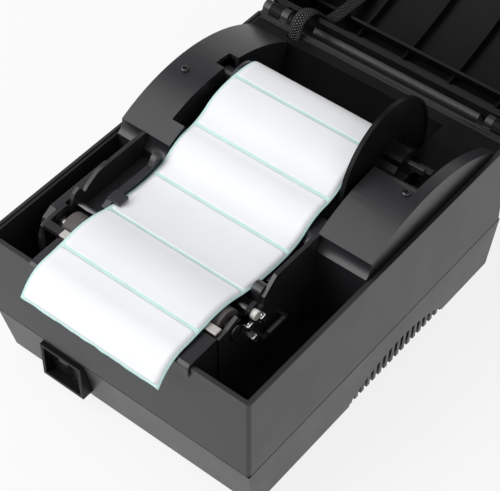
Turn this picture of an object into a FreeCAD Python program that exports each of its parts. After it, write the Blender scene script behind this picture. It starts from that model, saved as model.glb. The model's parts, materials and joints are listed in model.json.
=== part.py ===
"""Thermal label printer with its lid open: case, roll bay, drive, print head and label web.

Millimetres, +X to the right, +Y to the back, +Z up. The origin is on the floor, in the
middle of the footprint of the case.
"""
import FreeCAD, Part
import math
import os
import re
import Sketcher
from FreeCAD import Placement, Rotation, Vector

doc = FreeCAD.newDocument("label_printer")
sheet = doc.addObject("Spreadsheet::Sheet", "Sizes")
places = doc.addObject("App::VarSet", "Places")
probe = doc.addObject("App::VarSet", "Probe")
probe.addProperty("App::PropertyFloat", "reading")

# Driving dimensions. Setbacks are measured from the front face, rises from the seam.
CASE = {
    "case_width": 150,
    "case_depth": 194,
    "base_height": 31,
    "upper_height": 51.3,
    "foot_height": 2,
    "foot_radius": 7,
    "foot_inset": 16,
    "upper_wall": 3,
    "base_wall": 2.4,
    "base_floor": 2.4,
    "front_taper": 6.25,
    "side_taper": 1.75,
    "rear_taper": 4.4,
    "corner_round": 2,
    "seam_gap": 0.6,
    "seam_depth": 0.8,
    "rim_step": 1,
    "rim_land": 1.6,
    "boss_radius": 4,
    "boss_gap": 2,
    "fit_gap": 0.3,
    "running_gap": 0.05,
    "bond": 0.5,
}
VENTS = {
    "vent_count": 16,
    "vent_pitch": 4.6,
    "vent_width": 2.3,
    "vent_setback": 79,
    "vent_crest": 14,
    "vent_end_height": 4,
    "vent_lift": 1.5,
    "vent_margin": 3,
}
BAY = {
    "hump_front": 87.6,
    "hump_back": 184,
    "hump_crest": 129.6,
    "hump_rise": 16.4,
    "hump_radius": 94.3,
    "lip_rise": 55.6,
    "bay_wall": 2.5,
    "bay_skirt": 10.5,
    "bay_radius": 43.5,
    "bay_left": 50,
    "bay_right": 43,
    "shoulder_lead": 3.6,
    "shoulder_radius": 6,
    "cheek_rail": 5.7,
    "apron_radius": 8.75,
    "apron_depth": 3.5,
    "apron_height": 12,
    "cable_slot_length": 3,
}
ROLL = {
    "spindle_setback": 141.5,
    "spindle_rise": 57.2,
    "rib_radius": 9.1,
    "finger_root": 5.6,
    "rib_thickness": 2.2,
    "rib_length": 61,
    "journal_radius": 4.9,
    "journal_length": 9.6,
    "collar_radius": 11.6,
    "collar_width": 2,
    "core_bore": 9.5,
    "core_wall": 1.2,
    "core_overhang": 0.5,
    "paper_wind": 1.3,
    "flange_radius": 33,
    "flange_thickness": 2.2,
    "flange_gap": 1.2,
    "flange_lip": 1.4,
    "flange_dish": 0.7,
    "hub_radius": 12.5,
    "hub_length": 11,
    "hub_slot": 2.4,
    "hub_slots": 3,
}
WEB = {
    "web_width": 79,
    "web_margin": 5.5,
    "web_thickness": 0.3,
}
CHASSIS = {
    "frame_left": 56,
    "frame_right": 42.5,
    "plate_thickness": 2,
    "frame_front": 17.8,
    "tray_rise": 10,
    "tray_thickness": 2,
    "tray_ledge": 3,
    "deck_rise": 46.5,
    "deck_thickness": 2,
    "deck_front": 38.5,
    "frame_top": 59.1,
    "frame_screw_radius": 1.3,
    "screw_head_radius": 2.5,
    "screw_head_height": 2.3,
    "frame_screw_low": 33.6,
    "frame_screw_mid": 42.2,
    "frame_screw_high": 44.8,
    "frame_screw_step": 5.7,
    "spring_rise": 32,
    "spring_offset": 3,
    "spring_radius": 2,
    "spring_wire": 0.25,
    "spring_curls": 11,
    "spring_pitch": 1.02,
    "spring_setback": 46,
    "post_radius": 1.2,
    "post_length": 4.2,
    "rod_setback": 40,
    "rod_rise": 50,
    "rod_radius": 1.8,
    "rod_bush_radius": 2.4,
    "rod_bush_length": 3,
    "rod_bush_cap": 0.8,
}
DRIVE = {
    "platen_setback": 29,
    "platen_rise": 47.8,
    "platen_radius": 8,
    "platen_shaft_radius": 3,
    "platen_stub_radius": 2,
    "platen_inset": 6,
    "bush_radius": 5,
    "bush_flange": 6.2,
    "bush_flange_width": 1,
    "gear_module": 0.6,
    "gear_width": 2.2,
    "gear_clearance": 0.4,
    "platen_teeth": 14,
    "idler_teeth": 32,
    "pinion_teeth": 12,
    "drive_angle": 40,
    "idler_pin_radius": 1.5,
    "motor_size": 26,
    "motor_length": 26,
    "motor_shaft_radius": 1.5,
    "motor_boss_radius": 4.5,
    "motor_screw_radius": 1.2,
    "motor_screw_head": 2.2,
    "motor_screw_height": 1.2,
    "motor_screw_spread": 8.5,
    "cover_depth": 4,
    "cover_wall": 0.8,
    "cover_front": 18.9,
    "cover_back": 68.5,
    "cover_top": 54.5,
    "cover_chamfer": 6,
    "cover_rear_chamfer": 4,
}
EXIT = {
    "ramp_left": 46.9,
    "ramp_right": 43.7,
    "ramp_back": 17.4,
    "ramp_wall": 1.7,
    "ramp_lip": 5.6,
    "ramp_lip_wall": 1.2,
    "ramp_slope": 0.3,
    "ramp_gap": 0.2,
    "bar_width": 4,
    "bar_thickness": 1.2,
    "bar_holder": 9.4,
    "bar_rise": 54.9,
}
GUIDES = {
    "guide_wall": 3.2,
    "guide_front": 44,
    "guide_back": 82.5,
    "guide_height": 7,
    "guide_tip": 3.4,
    "guide_horn": 4.2,
    "guide_foot_width": 7.7,
    "guide_foot_front": 56,
    "guide_foot_length": 14,
    "guide_foot_height": 1.5,
    "guide_stem": 5,
    "guide_travel": 5.5,
    "tab_front": 47.8,
    "tab_length": 6.4,
    "tab_reach": 4.3,
    "tab_clearance": 6.6,
    "tab_height": 1.5,
    "stop_radius": 3.5,
    "stop_setback": 51,
    "stop_rise": 52,
    "sensor_width": 16,
    "sensor_length": 8,
    "sensor_height": 2.7,
    "sensor_setback": 68,
}
SWITCH = {
    "switch_width": 25,
    "switch_height": 22,
    "switch_left": 47,
    "switch_drop": 3,
    "switch_proud": 1.5,
    "switch_bezel": 1.8,
    "switch_body_depth": 17,
    "switch_well": 11,
    "rocker_tilt": 9,
    "rocker_pin_radius": 1.2,
    "rocker_depth": 3.6,
    "rocker_thickness": 3,
    "rocker_gap": 0.9,
}
ELECTRONICS = {
    "board_width": 104,
    "board_length": 92,
    "board_thickness": 1.6,
    "board_lift": 5,
    "board_shift": 14,
    "board_post_radius": 3,
    "board_post_inset": 5,
    "chip_size": 14,
    "chip_height": 1.6,
    "usb_width": 12,
    "usb_height": 11,
    "usb_length": 16,
    "usb_place": 14,
    "usb_bore_width": 8.6,
    "usb_bore_height": 7.6,
    "jack_width": 9,
    "jack_height": 11,
    "jack_length": 14,
    "jack_place": 38,
    "jack_bore": 3.2,
    "jack_pin": 1,
    "port_bore_depth": 9,
    "port_gap": 0.4,
}
LID = {
    "lid_gap": 0.5,
    "lid_wall": 2.5,
    "lid_crest": 48.7,
    "lid_crest_setback": 108,
    "roof_radius": 300,
    "lid_back_gap": 0.6,
    "lid_open_angle": 153,
    "hinge_setback": 4,
    "hinge_lift": 0.7,
    "barrel_radius": 3.6,
    "hinge_pin_radius": 1.5,
    "knuckle_width": 6.4,
    "ear_width": 4.2,
    "hinge_inset": 9,
    "ear_drop": 7,
    "exit_height": 6.7,
    "exit_margin": 1.3,
    "cove_radius": 11,
    "cove_half_width": 49.5,
    "roll_cover_radius": 6.5,
    "roll_cover_lift": 17,
    "rib_wall": 1.5,
    "cross_rib_inset": 11,
    "cross_rib_pitch": 8.3,
    "cross_rib_rise": 80,
    "long_rib_pitch": 28,
    "long_rib_start": 66,
    "long_rib_count": 5,
    "long_rib_depth": 5,
}
HEAD = {
    "head_gap": 0.5,
    "head_left": 45,
    "head_right": 39,
    "head_front": 19,
    "head_length": 21,
    "head_thickness": 2.8,
    "sink_overhang": 2,
    "sink_length": 30,
    "sink_thickness": 3.2,
    "sink_ear_height": 4.2,
    "sink_groove": 1.6,
    "sink_groove_depth": 1.2,
    "bracket_rise": 70,
    "bracket_wall": 1.5,
    "bracket_length": 35,
    "bracket_margin": 5,
    "bracket_ear_length": 14,
    "pivot_setback": 44.5,
    "pivot_rise": 64.7,
    "pivot_radius": 1.5,
    "head_spring_radius": 3,
    "head_spring_wire": 0.35,
    "head_spring_curls": 4,
    "head_spring_setback": 27,
    "head_spring_spread": 27,
    "head_spring_shift": 3,
    "post_spread": 34,
    "post_setback": 47,
    "head_post_radius": 4,
    "lid_screw_radius": 1.3,
    "lid_screw_head": 2.8,
    "lid_screw_length": 9,
    "plug_width": 24,
    "plug_length": 6,
    "plug_height": 2.6,
}
BUTTONS = {
    "button_inset": 29,
    "button_setback": 16,
    "button_radius": 5,
    "button_proud": 1.2,
    "button_flange": 6.2,
    "button_flange_height": 1.4,
    "button_drop": 5.2,
    "button_stem": 2.5,
    "button_travel": 1,
    "button_slack": 0.3,
    "panel_board_width": 40,
    "panel_board_length": 18,
    "panel_board_drop": 10.9,
    "panel_post_radius": 2.5,
    "dome_size": 6,
    "dome_height": 1.2,
    "lens_radius": 1.6,
    "lens_proud": 0.4,
    "lens_pitch": 7,
    "lens_offset": 12,
}
CABLE = {
    "cable_x": 49.5,
    "cable_width": 7,
    "cable_thickness": 1.8,
    "clip_width": 11,
    "clip_length": 6,
    "clip_wall": 1.5,
    "clip_setback": 124,
}
FASTENERS = {
    "base_screw_radius": 1.5,
    "base_screw_head": 2.9,
    "base_screw_head_height": 2,
    "base_screw_length": 34,
    "bay_screw_x": 63.5,
    "bay_screw_setback": 123.4,
    "bay_screw_radius": 1.2,
    "bay_screw_head": 2,
    "bay_screw_height": 1,
    "bay_screw_length": 8,
}
GROUPS = [CASE, VENTS, BAY, ROLL, WEB, CHASSIS, DRIVE, EXIT, GUIDES, SWITCH,
          ELECTRONICS, LID, HEAD, BUTTONS, CABLE, FASTENERS]

# Places worked out from the driving dimensions, in the frame of the part.
PLACES = {
    "front_face": "-case_depth / 2",
    "back_face": "case_depth / 2",
    "side_face": "case_width / 2",
    "seam_level": "foot_height + base_height",
    "rim_level": "seam_level + upper_height",
    "inner_side": "side_face - upper_wall",
    "hump_front_y": "front_face + hump_front",
    "hump_back_y": "front_face + hump_back",
    "hump_mid_y": "front_face + hump_crest",
    "hump_centre_z": "rim_level + hump_rise - hump_radius",
    "crease_z": "hump_centre_z + sqrt(pow(hump_radius, 2) - pow(hump_crest - hump_front, 2))",
    "apron_y": "hump_front_y - apron_depth",
    "hub_end": "flange_x + flange_thickness + hub_length + flange_gap + bond",
    "spindle_y": "front_face + spindle_setback",
    "spindle_z": "seam_level + spindle_rise",
    "roll_radius": "core_bore + core_wall + paper_wind",
    "web_right": "frame_right - web_margin",
    "web_left": "web_right - web_width",
    "flange_x": "web_right + flange_gap",
    "tray_top": "seam_level + tray_rise",
    "deck_top": "seam_level + deck_rise",
    "platen_y": "front_face + platen_setback",
    "platen_z": "seam_level + platen_rise",
    "left_outer": "-frame_left - plate_thickness",
    "right_outer": "frame_right + plate_thickness",
    "gear_left": "left_outer - gear_clearance - gear_width",
    "gear_right": "left_outer - gear_clearance",
    "idler_reach": "gear_module * (platen_teeth + idler_teeth) / 2",
    "motor_reach": "idler_reach + gear_module * (idler_teeth + pinion_teeth) / 2",
    "idler_y": "platen_y + idler_reach * cos(drive_angle * 1 deg)",
    "idler_z": "platen_z - idler_reach * sin(drive_angle * 1 deg)",
    "motor_y": "platen_y + motor_reach * cos(drive_angle * 1 deg)",
    "motor_z": "platen_z - motor_reach * sin(drive_angle * 1 deg)",
    "rod_y": "front_face + rod_setback",
    "rod_z": "seam_level + rod_rise",
    "ramp_top": "rim_level + ramp_gap + ramp_wall",
    "bar_top": "seam_level + bar_rise",
    "floor_top": "foot_height + base_floor",
    "board_bottom": "floor_top + board_lift",
    "board_top": "board_bottom + board_thickness",
    "board_back": "back_face - rear_taper - board_shift",
    "hinge_y": "back_face + hinge_setback",
    "hinge_z": "rim_level + hinge_lift",
    "hinge_spread": "side_face - hinge_inset",
    "cross_rib_first": "case_depth - cross_rib_inset",
    "cross_rib_second": "cross_rib_first - cross_rib_pitch",
    "lid_bottom": "rim_level + lid_gap",
    "lid_top": "rim_level + lid_crest",
    "lid_back": "back_face - lid_back_gap",
    "roof_y": "front_face + lid_crest_setback",
    "roof_z": "lid_top - roof_radius",
    "head_bottom": "platen_z + platen_radius + web_thickness + 2 * fit_gap + head_gap",
    "sink_bottom": "head_bottom + head_thickness",
    "sink_top": "sink_bottom + sink_thickness",
    "bracket_z": "seam_level + bracket_rise",
    "pivot_y": "front_face + pivot_setback",
    "pivot_z": "seam_level + pivot_rise",
    "button_x": "side_face - button_inset",
    "button_y": "front_face + button_setback",
    "button_roof": "roof_z + sqrt(pow(roof_radius, 2) - pow(button_y - roof_y, 2))",
    "panel_board_top": "button_roof - panel_board_drop",
}
KNOWN = {}


def fill_sheet():
    """Writes every driving dimension to the sheet under its own name."""
    row = 0
    for group in GROUPS:
        for name, number in group.items():
            row += 1
            sheet.set(f"A{row}", name)
            sheet.set(f"B{row}", str(number))
            sheet.setAlias(f"B{row}", name)
            KNOWN[name] = "Sizes"
    doc.recompute()


def bind(text):
    """Turns a formula in plain names into an expression on the sheet and the places."""
    def owner(found):
        word = found.group(0)
        return f"{KNOWN[word]}.{word}" if word in KNOWN else word
    return re.sub(r"[A-Za-z_]+", owner, str(text))


def set_places():
    """Binds the worked-out places. A place may use one that is defined after it."""
    for name in PLACES:
        places.addProperty("App::PropertyFloat", name)
        KNOWN[name] = "Places"
    for name, formula in PLACES.items():
        places.setExpression(name, bind(formula))
    doc.recompute()


def value(formula):
    """Number that a formula has with the present sizes."""
    probe.setExpression("reading", bind(formula))
    probe.recompute()
    return probe.reading


fill_sheet()
set_places()

TURNS = {
    "x": Rotation(Vector(0, 1, 0), 90),
    "y": Rotation(Vector(1, 0, 0), -90),
    "z": Rotation(),
}
PLANES = {"x": "YZ_Plane", "y": "XZ_Plane", "z": "XY_Plane"}


def box(name, x, y, z):
    """Block between two formulas on each axis."""
    item = doc.addObject("Part::Box", name)
    for size, axis, (low, high) in zip(("Length", "Width", "Height"), "xyz", (x, y, z)):
        item.setExpression(size, bind(f"({high}) - ({low})"))
        item.setExpression(f"Placement.Base.{axis}", bind(low))
    return item


def rod(name, axis, span, centre, radius):
    """Cylinder along an axis; centre gives the other two coordinates in order."""
    item = doc.addObject("Part::Cylinder", name)
    item.Placement = Placement(Vector(), TURNS[axis])
    item.setExpression("Radius", bind(radius))
    item.setExpression("Height", bind(f"({span[1]}) - ({span[0]})"))
    others = [letter for letter in "xyz" if letter != axis]
    item.setExpression(f"Placement.Base.{axis}", bind(span[0]))
    for letter, formula in zip(others, centre):
        item.setExpression(f"Placement.Base.{letter}", bind(formula))
    return item


def prism(name, axis, corners, span):
    """Straight-sided outline, padded along an axis between two formulas."""
    body = doc.addObject("PartDesign::Body", name)
    sketch = body.newObject("Sketcher::SketchObject", f"{name}_outline")
    plane = next(item for item in body.Origin.OriginFeatures if item.Role == PLANES[axis])
    sketch.AttachmentSupport = [(plane, "")]
    sketch.MapMode = "FlatFace"
    start = f"-({span[1]})" if axis == "y" else span[0]
    sketch.setExpression("AttachmentOffset.Base.z", bind(start))
    spots = [Vector(value(across), value(up), 0) for across, up in corners]
    count = len(spots)
    for index in range(count):
        sketch.addGeometry(Part.LineSegment(spots[index], spots[(index + 1) % count]))
    for index in range(count):
        sketch.addConstraint(Sketcher.Constraint("Coincident", index, 2, (index + 1) % count, 1))
    for index, (across, up) in enumerate(corners):
        for kind, formula, place in (("DistanceX", across, spots[index].x),
                                     ("DistanceY", up, spots[index].y)):
            rule = sketch.addConstraint(Sketcher.Constraint(kind, -1, 1, index, 1, place))
            sketch.setExpression(f"Constraints[{rule}]", bind(formula))
    pad = body.newObject("PartDesign::Pad", f"{name}_pad")
    pad.Profile = sketch
    pad.setExpression("Length", bind(f"({span[1]}) - ({span[0]})"))
    return body


def round_upright_edges(body, radius):
    """Rounds every edge of a body's pad that runs along Z."""
    doc.recompute()
    base = body.Tip
    names = []
    for number, edge in enumerate(base.Shape.Edges, 1):
        first, last = edge.Vertexes[0].Point, edge.Vertexes[-1].Point
        if (first - last).cross(Vector(0, 0, 1)).Length < 1e-6:
            names.append(f"Edge{number}")
    fillet = body.newObject("PartDesign::Fillet", f"{body.Name}_round")
    fillet.Base = (base, names)
    fillet.setExpression("Radius", bind(radius))
    return body


def join(name, kind, items):
    """Fusion, common part or compound of several objects."""
    item = doc.addObject(kind, name)
    if kind == "Part::Compound":
        item.Links = items
    else:
        item.Shapes = items
    return item


def fuse(name, *items):
    return join(name, "Part::MultiFuse", list(items))


def common(name, *items):
    return join(name, "Part::MultiCommon", list(items))


def group(name, *items):
    return join(name, "Part::Compound", list(items))


def cut(name, base, *tools):
    item = doc.addObject("Part::Cut", name)
    item.Base = base
    item.Tool = tools[0] if len(tools) == 1 else fuse(f"{name}_tools", *tools)
    return item


def mirror(name, item):
    """Copy of an object on the other side of the middle plane."""
    copy = doc.addObject("Part::Mirroring", name)
    copy.Source = item
    copy.Base = Vector(0, 0, 0)
    copy.Normal = Vector(1, 0, 0)
    return copy


def coded(name, shape, place=Placement()):
    """Solid that is worked out in code from the sheet's sizes."""
    item = doc.addObject("Part::Feature", name)
    item.Shape = shape
    item.Placement = place
    return item


NODES = []


def node(name, item, on_lid=False):
    """Names a finished piece. A piece of the lid is drawn closed and swung open here."""
    if on_lid:
        item.Label = f"{name}_closed"
        item = group(f"{name}_open", item)
        hinge = Vector(0, value("hinge_y"), value("hinge_z"))
        swing = Rotation(Vector(1, 0, 0), -value("lid_open_angle"))
        item.Placement = Placement(Vector(), swing, hinge)
    item.Label = name
    NODES.append(item)


def sides(low, high):
    """The same span of X on the right side and, mirrored, on the left."""
    return (("right", (low, high)), ("left", (f"-({high})", f"-({low})")))


def setback(distance):
    return f"front_face + {distance}"


def rise(distance):
    return f"seam_level + {distance}"


def profile(points):
    """Outline corners given as setbacks and rises."""
    return [(setback(across), rise(up)) for across, up in points]


# Case

def tapered_block(name, low, high, inset):
    """Block that narrows downwards from the seam, with every wall moved in by the inset."""
    item = doc.addObject("Part::Wedge", name)
    item.Placement = Placement(Vector(), Rotation(Vector(1, 0, 0), 90))
    item.setExpression("Ymin", bind(low))
    item.setExpression("Ymax", bind(high))
    for digit, level in (("", low), ("2", high)):
        drop = f"(seam_level - ({level})) / base_height"
        half = f"(side_face - side_taper * {drop} - ({inset}))"
        item.setExpression(f"X{digit}min", bind(f"-{half}"))
        item.setExpression(f"X{digit}max", bind(half))
        item.setExpression(f"Z{digit}min", bind(f"-(back_face - rear_taper * {drop} - ({inset}))"))
        item.setExpression(f"Z{digit}max", bind(f"-(front_face + front_taper * {drop} + ({inset}))"))
    return item


BOSS_X = "inner_side - boss_radius + bond / 2"
BOSS_FRONT = "front_face + upper_wall + front_taper + boss_radius - bond"
BOSS_BACK = "back_face - upper_wall - rear_taper - boss_radius + bond"


def corner_rods(name, z, radius):
    """Four upright rods at the corner bosses."""
    rods = []
    for side, across in (("left", f"-({BOSS_X})"), ("right", BOSS_X)):
        for end, along in (("front", BOSS_FRONT), ("back", BOSS_BACK)):
            rods.append(rod(f"{name}_{end}_{side}", "z", z, (across, along), radius))
    return rods


def vent_slots():
    """Upright slots along both sides, open downwards, under an arched line."""
    wall = ("side_face - side_taper - base_wall - bond", "side_face + bond")
    length = "vent_pitch * (vent_count - 1)"
    middle = f"front_face + vent_setback + {length} / 2"
    sag = "(vent_crest - vent_end_height)"
    radius = f"(pow({length} / 2, 2) + pow({sag}, 2)) / (2 * {sag})"
    cuts = []
    for side, span in sides(*wall):
        slots = []
        for index in range(int(value("vent_count"))):
            low = f"front_face + vent_setback + vent_pitch * {index} - vent_width / 2"
            slots.append(box(f"vent_{side}_{index}", span, (low, f"{low} + vent_width"),
                             ("foot_height - bond", "foot_height + vent_crest + bond")))
        arch = rod(f"vent_arch_{side}", "x", span,
                   (middle, f"foot_height + vent_crest - {radius}"), radius)
        cuts.append(common(f"vents_{side}", group(f"vent_slots_{side}", *slots), arch))
        cuts.append(box(f"vent_lift_{side}", span,
                        (f"front_face + vent_setback - vent_margin",
                         f"front_face + vent_setback + {length} + vent_margin"),
                        ("foot_height - bond", "foot_height + vent_lift")))
    return cuts


SWITCH_X = ("-switch_width / 2", "switch_width / 2")
SWITCH_Z = ("-switch_height / 2", "switch_height / 2")
USB_X = ("usb_place - usb_width / 2", "usb_place + usb_width / 2")
USB_Z = ("board_top", "board_top + usb_height")
JACK_X = ("jack_place - jack_width / 2", "jack_place + jack_width / 2")
JACK_Z = ("board_top", "board_top + jack_height")
PORT_FACE = "back_face - rear_taper"


def widened(span, gap):
    return (f"{span[0]} - ({gap})", f"{span[1]} + ({gap})")


def on_front_wall(name, item):
    """Sets an object drawn about the middle of the switch's front rim in its place."""
    set_in = group(name, item)
    set_in.Placement = Placement(Vector(value("switch_width / 2 - switch_left"),
                                        value("front_face - switch_proud"),
                                        value("seam_level - switch_drop - switch_height / 2")), Rotation())
    return set_in


def lower_case():
    shell = cut("base_shell",
                tapered_block("base_outer", "foot_height", "seam_level", "0"),
                tapered_block("base_inner", "floor_top", "seam_level + bond", "base_wall"))
    bosses = corner_rods("base_boss", ("foot_height + bond", "seam_level - boss_gap"), "boss_radius")
    inside = common("base_boss_trim", group("base_bosses", *bosses),
                    tapered_block("base_boss_limit", "foot_height", "seam_level", "base_wall / 2"))
    posts = [rod(f"board_post_{number}", "z", ("floor_top - bond", "board_bottom"), spot,
                 "board_post_radius") for number, spot in enumerate(board_corners())]
    solid = fuse("base_solid", shell, inside, *posts)
    groove = cut("seam_groove",
                 box("seam_outer", ("-side_face - bond", "side_face + bond"),
                     ("front_face - bond", "back_face + bond"),
                     ("seam_level - seam_gap", "seam_level + bond")),
                 box("seam_inner", ("-side_face + seam_depth", "side_face - seam_depth"),
                     ("front_face + seam_depth", "back_face - seam_depth"),
                     ("seam_level - seam_gap - bond", "seam_level + 2 * bond")))
    holes = corner_rods("base_hole", ("foot_height - bond", "seam_level"),
                        "base_screw_radius + running_gap")
    sinks = corner_rods("base_sink", ("foot_height - bond", "foot_height + base_screw_head_height"),
                        "base_screw_head + fit_gap")
    switch_hole = on_front_wall("switch_hole", box(
        "switch_opening", widened(SWITCH_X, "port_gap"), ("0", "switch_body_depth"),
        widened(SWITCH_Z, "port_gap")))
    ports = [box(f"{name}_hole", widened(across, "port_gap"),
                 ("back_face - rear_taper - base_wall - 2 * bond", "back_face + bond"),
                 widened(up, "port_gap"))
             for name, across, up in (("usb", USB_X, USB_Z), ("jack", JACK_X, JACK_Z))]
    node("lower_case", cut("lower_case", solid, groove, switch_hole, *holes, *sinks, *ports,
                           *vent_slots()))


def board_corners():
    """Centres of the posts under the main board."""
    spots = []
    for across in ("-board_width / 2 + board_post_inset", "board_width / 2 - board_post_inset"):
        for along in ("board_back - board_length + board_post_inset", "board_back - board_post_inset"):
            spots.append((across, along))
    return spots


def knuckles(name, low, high, drop, radius):
    """Hinge barrels on both sides, each on a block that reaches the case or the lid."""
    pieces = []
    for side, span in sides(low, high):
        pieces.append(rod(f"{name}_barrel_{side}", "x", span, ("hinge_y", "hinge_z"), radius))
        pieces.append(box(f"{name}_arm_{side}", span, drop[0], drop[1]))
    return pieces


EAR_INNER = ("hinge_spread - knuckle_width / 2 - fit_gap - ear_width",
             "hinge_spread - knuckle_width / 2 - fit_gap")
EAR_OUTER = ("hinge_spread + knuckle_width / 2 + fit_gap",
             "hinge_spread + knuckle_width / 2 + fit_gap + ear_width")


def upper_case():
    outer = prism("upper_outer", "z",
                  [("-side_face", "front_face"), ("side_face", "front_face"),
                   ("side_face", "back_face"), ("-side_face", "back_face")],
                  ("seam_level", "rim_level"))
    round_upright_edges(outer, "corner_round")
    inner = box("upper_inner", ("-inner_side", "inner_side"),
                ("front_face + upper_wall", "back_face - upper_wall"),
                ("seam_level - bond", "rim_level + bond"))
    step = box("upper_step", ("-side_face + rim_land", "side_face - rim_land"),
               ("front_face + rim_land", "back_face - rim_land"),
               ("rim_level - rim_step", "rim_level + bond"))
    walls = cut("upper_walls", outer, inner, step)
    bosses = corner_rods("upper_boss", ("seam_level - boss_gap", "tray_top - tray_thickness"),
                         "boss_radius")
    trim = common("upper_boss_trim", group("upper_bosses", *bosses),
                  box("upper_boss_limit", ("-inner_side - bond", "inner_side + bond"),
                      ("front_face + upper_wall - bond", "back_face - upper_wall + bond"),
                      ("seam_level - boss_gap", "tray_top")))
    ledges = [box(f"tray_ledge_{side}", span, ("front_face + upper_wall - bond", "hump_front_y"),
                  ("tray_top - tray_thickness - tray_ledge", "tray_top - tray_thickness"))
              for side, span in sides("inner_side - tray_ledge", "inner_side + bond")]
    rails = [box(f"bay_rail_{side}", span,
                 ("hump_front_y + bay_wall + fit_gap", "back_face - upper_wall + bond"),
                 ("rim_level - bay_skirt - tray_ledge", "rim_level - bay_skirt"))
             for side, span in sides("inner_side - tray_ledge", "inner_side + bond")]
    drop = (("back_face - bond", "hinge_y"), ("hinge_z - ear_drop", "hinge_z"))
    ears = knuckles("ear_inner", *EAR_INNER, drop, "barrel_radius")
    ears += knuckles("ear_outer", *EAR_OUTER, drop, "barrel_radius")
    solid = fuse("upper_solid", walls, trim, *ledges, *rails, *ears)
    pin_hole = rod("ear_hole", "x", ("-side_face - bond", "side_face + bond"),
                   ("hinge_y", "hinge_z"), "hinge_pin_radius + running_gap")
    holes = corner_rods("upper_hole", ("seam_level - boss_gap - bond", "tray_top"),
                        "base_screw_radius + running_gap")
    node("upper_case", cut("upper_case", solid, pin_hole, *holes))


def case_fasteners():
    feet = []
    for side, across in (("left", "-side_face + side_taper + foot_inset"),
                         ("right", "side_face - side_taper - foot_inset")):
        for end, along in (("front", "front_face + front_taper + foot_inset"),
                           ("back", "back_face - rear_taper - foot_inset")):
            feet.append(rod(f"foot_{end}_{side}", "z", ("0", "foot_height"), (across, along),
                            "foot_radius"))
    node("rubber_feet", group("rubber_feet", *feet))
    heads = corner_rods("base_screw_head", ("foot_height", "foot_height + base_screw_head_height"),
                        "base_screw_head")
    shanks = corner_rods("base_screw_shank",
                         ("foot_height + bond", "foot_height + base_screw_length"),
                         "base_screw_radius")
    screws = [fuse(f"base_screw_{number}", head, shank)
              for number, (head, shank) in enumerate(zip(heads, shanks))]
    node("base_screws", group("base_screws", *screws))
    pins = [rod(f"hinge_pin_{side}", "x", span, ("hinge_y", "hinge_z"), "hinge_pin_radius")
            for side, span in sides(EAR_INNER[0], EAR_OUTER[1])]
    node("hinge_pins", group("hinge_pins", *pins))


# Roll bay and roll

AXIS = ("spindle_y", "spindle_z")
CABLE_SLOT = "spindle_y + bay_radius + bay_wall - fit_gap"


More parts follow.
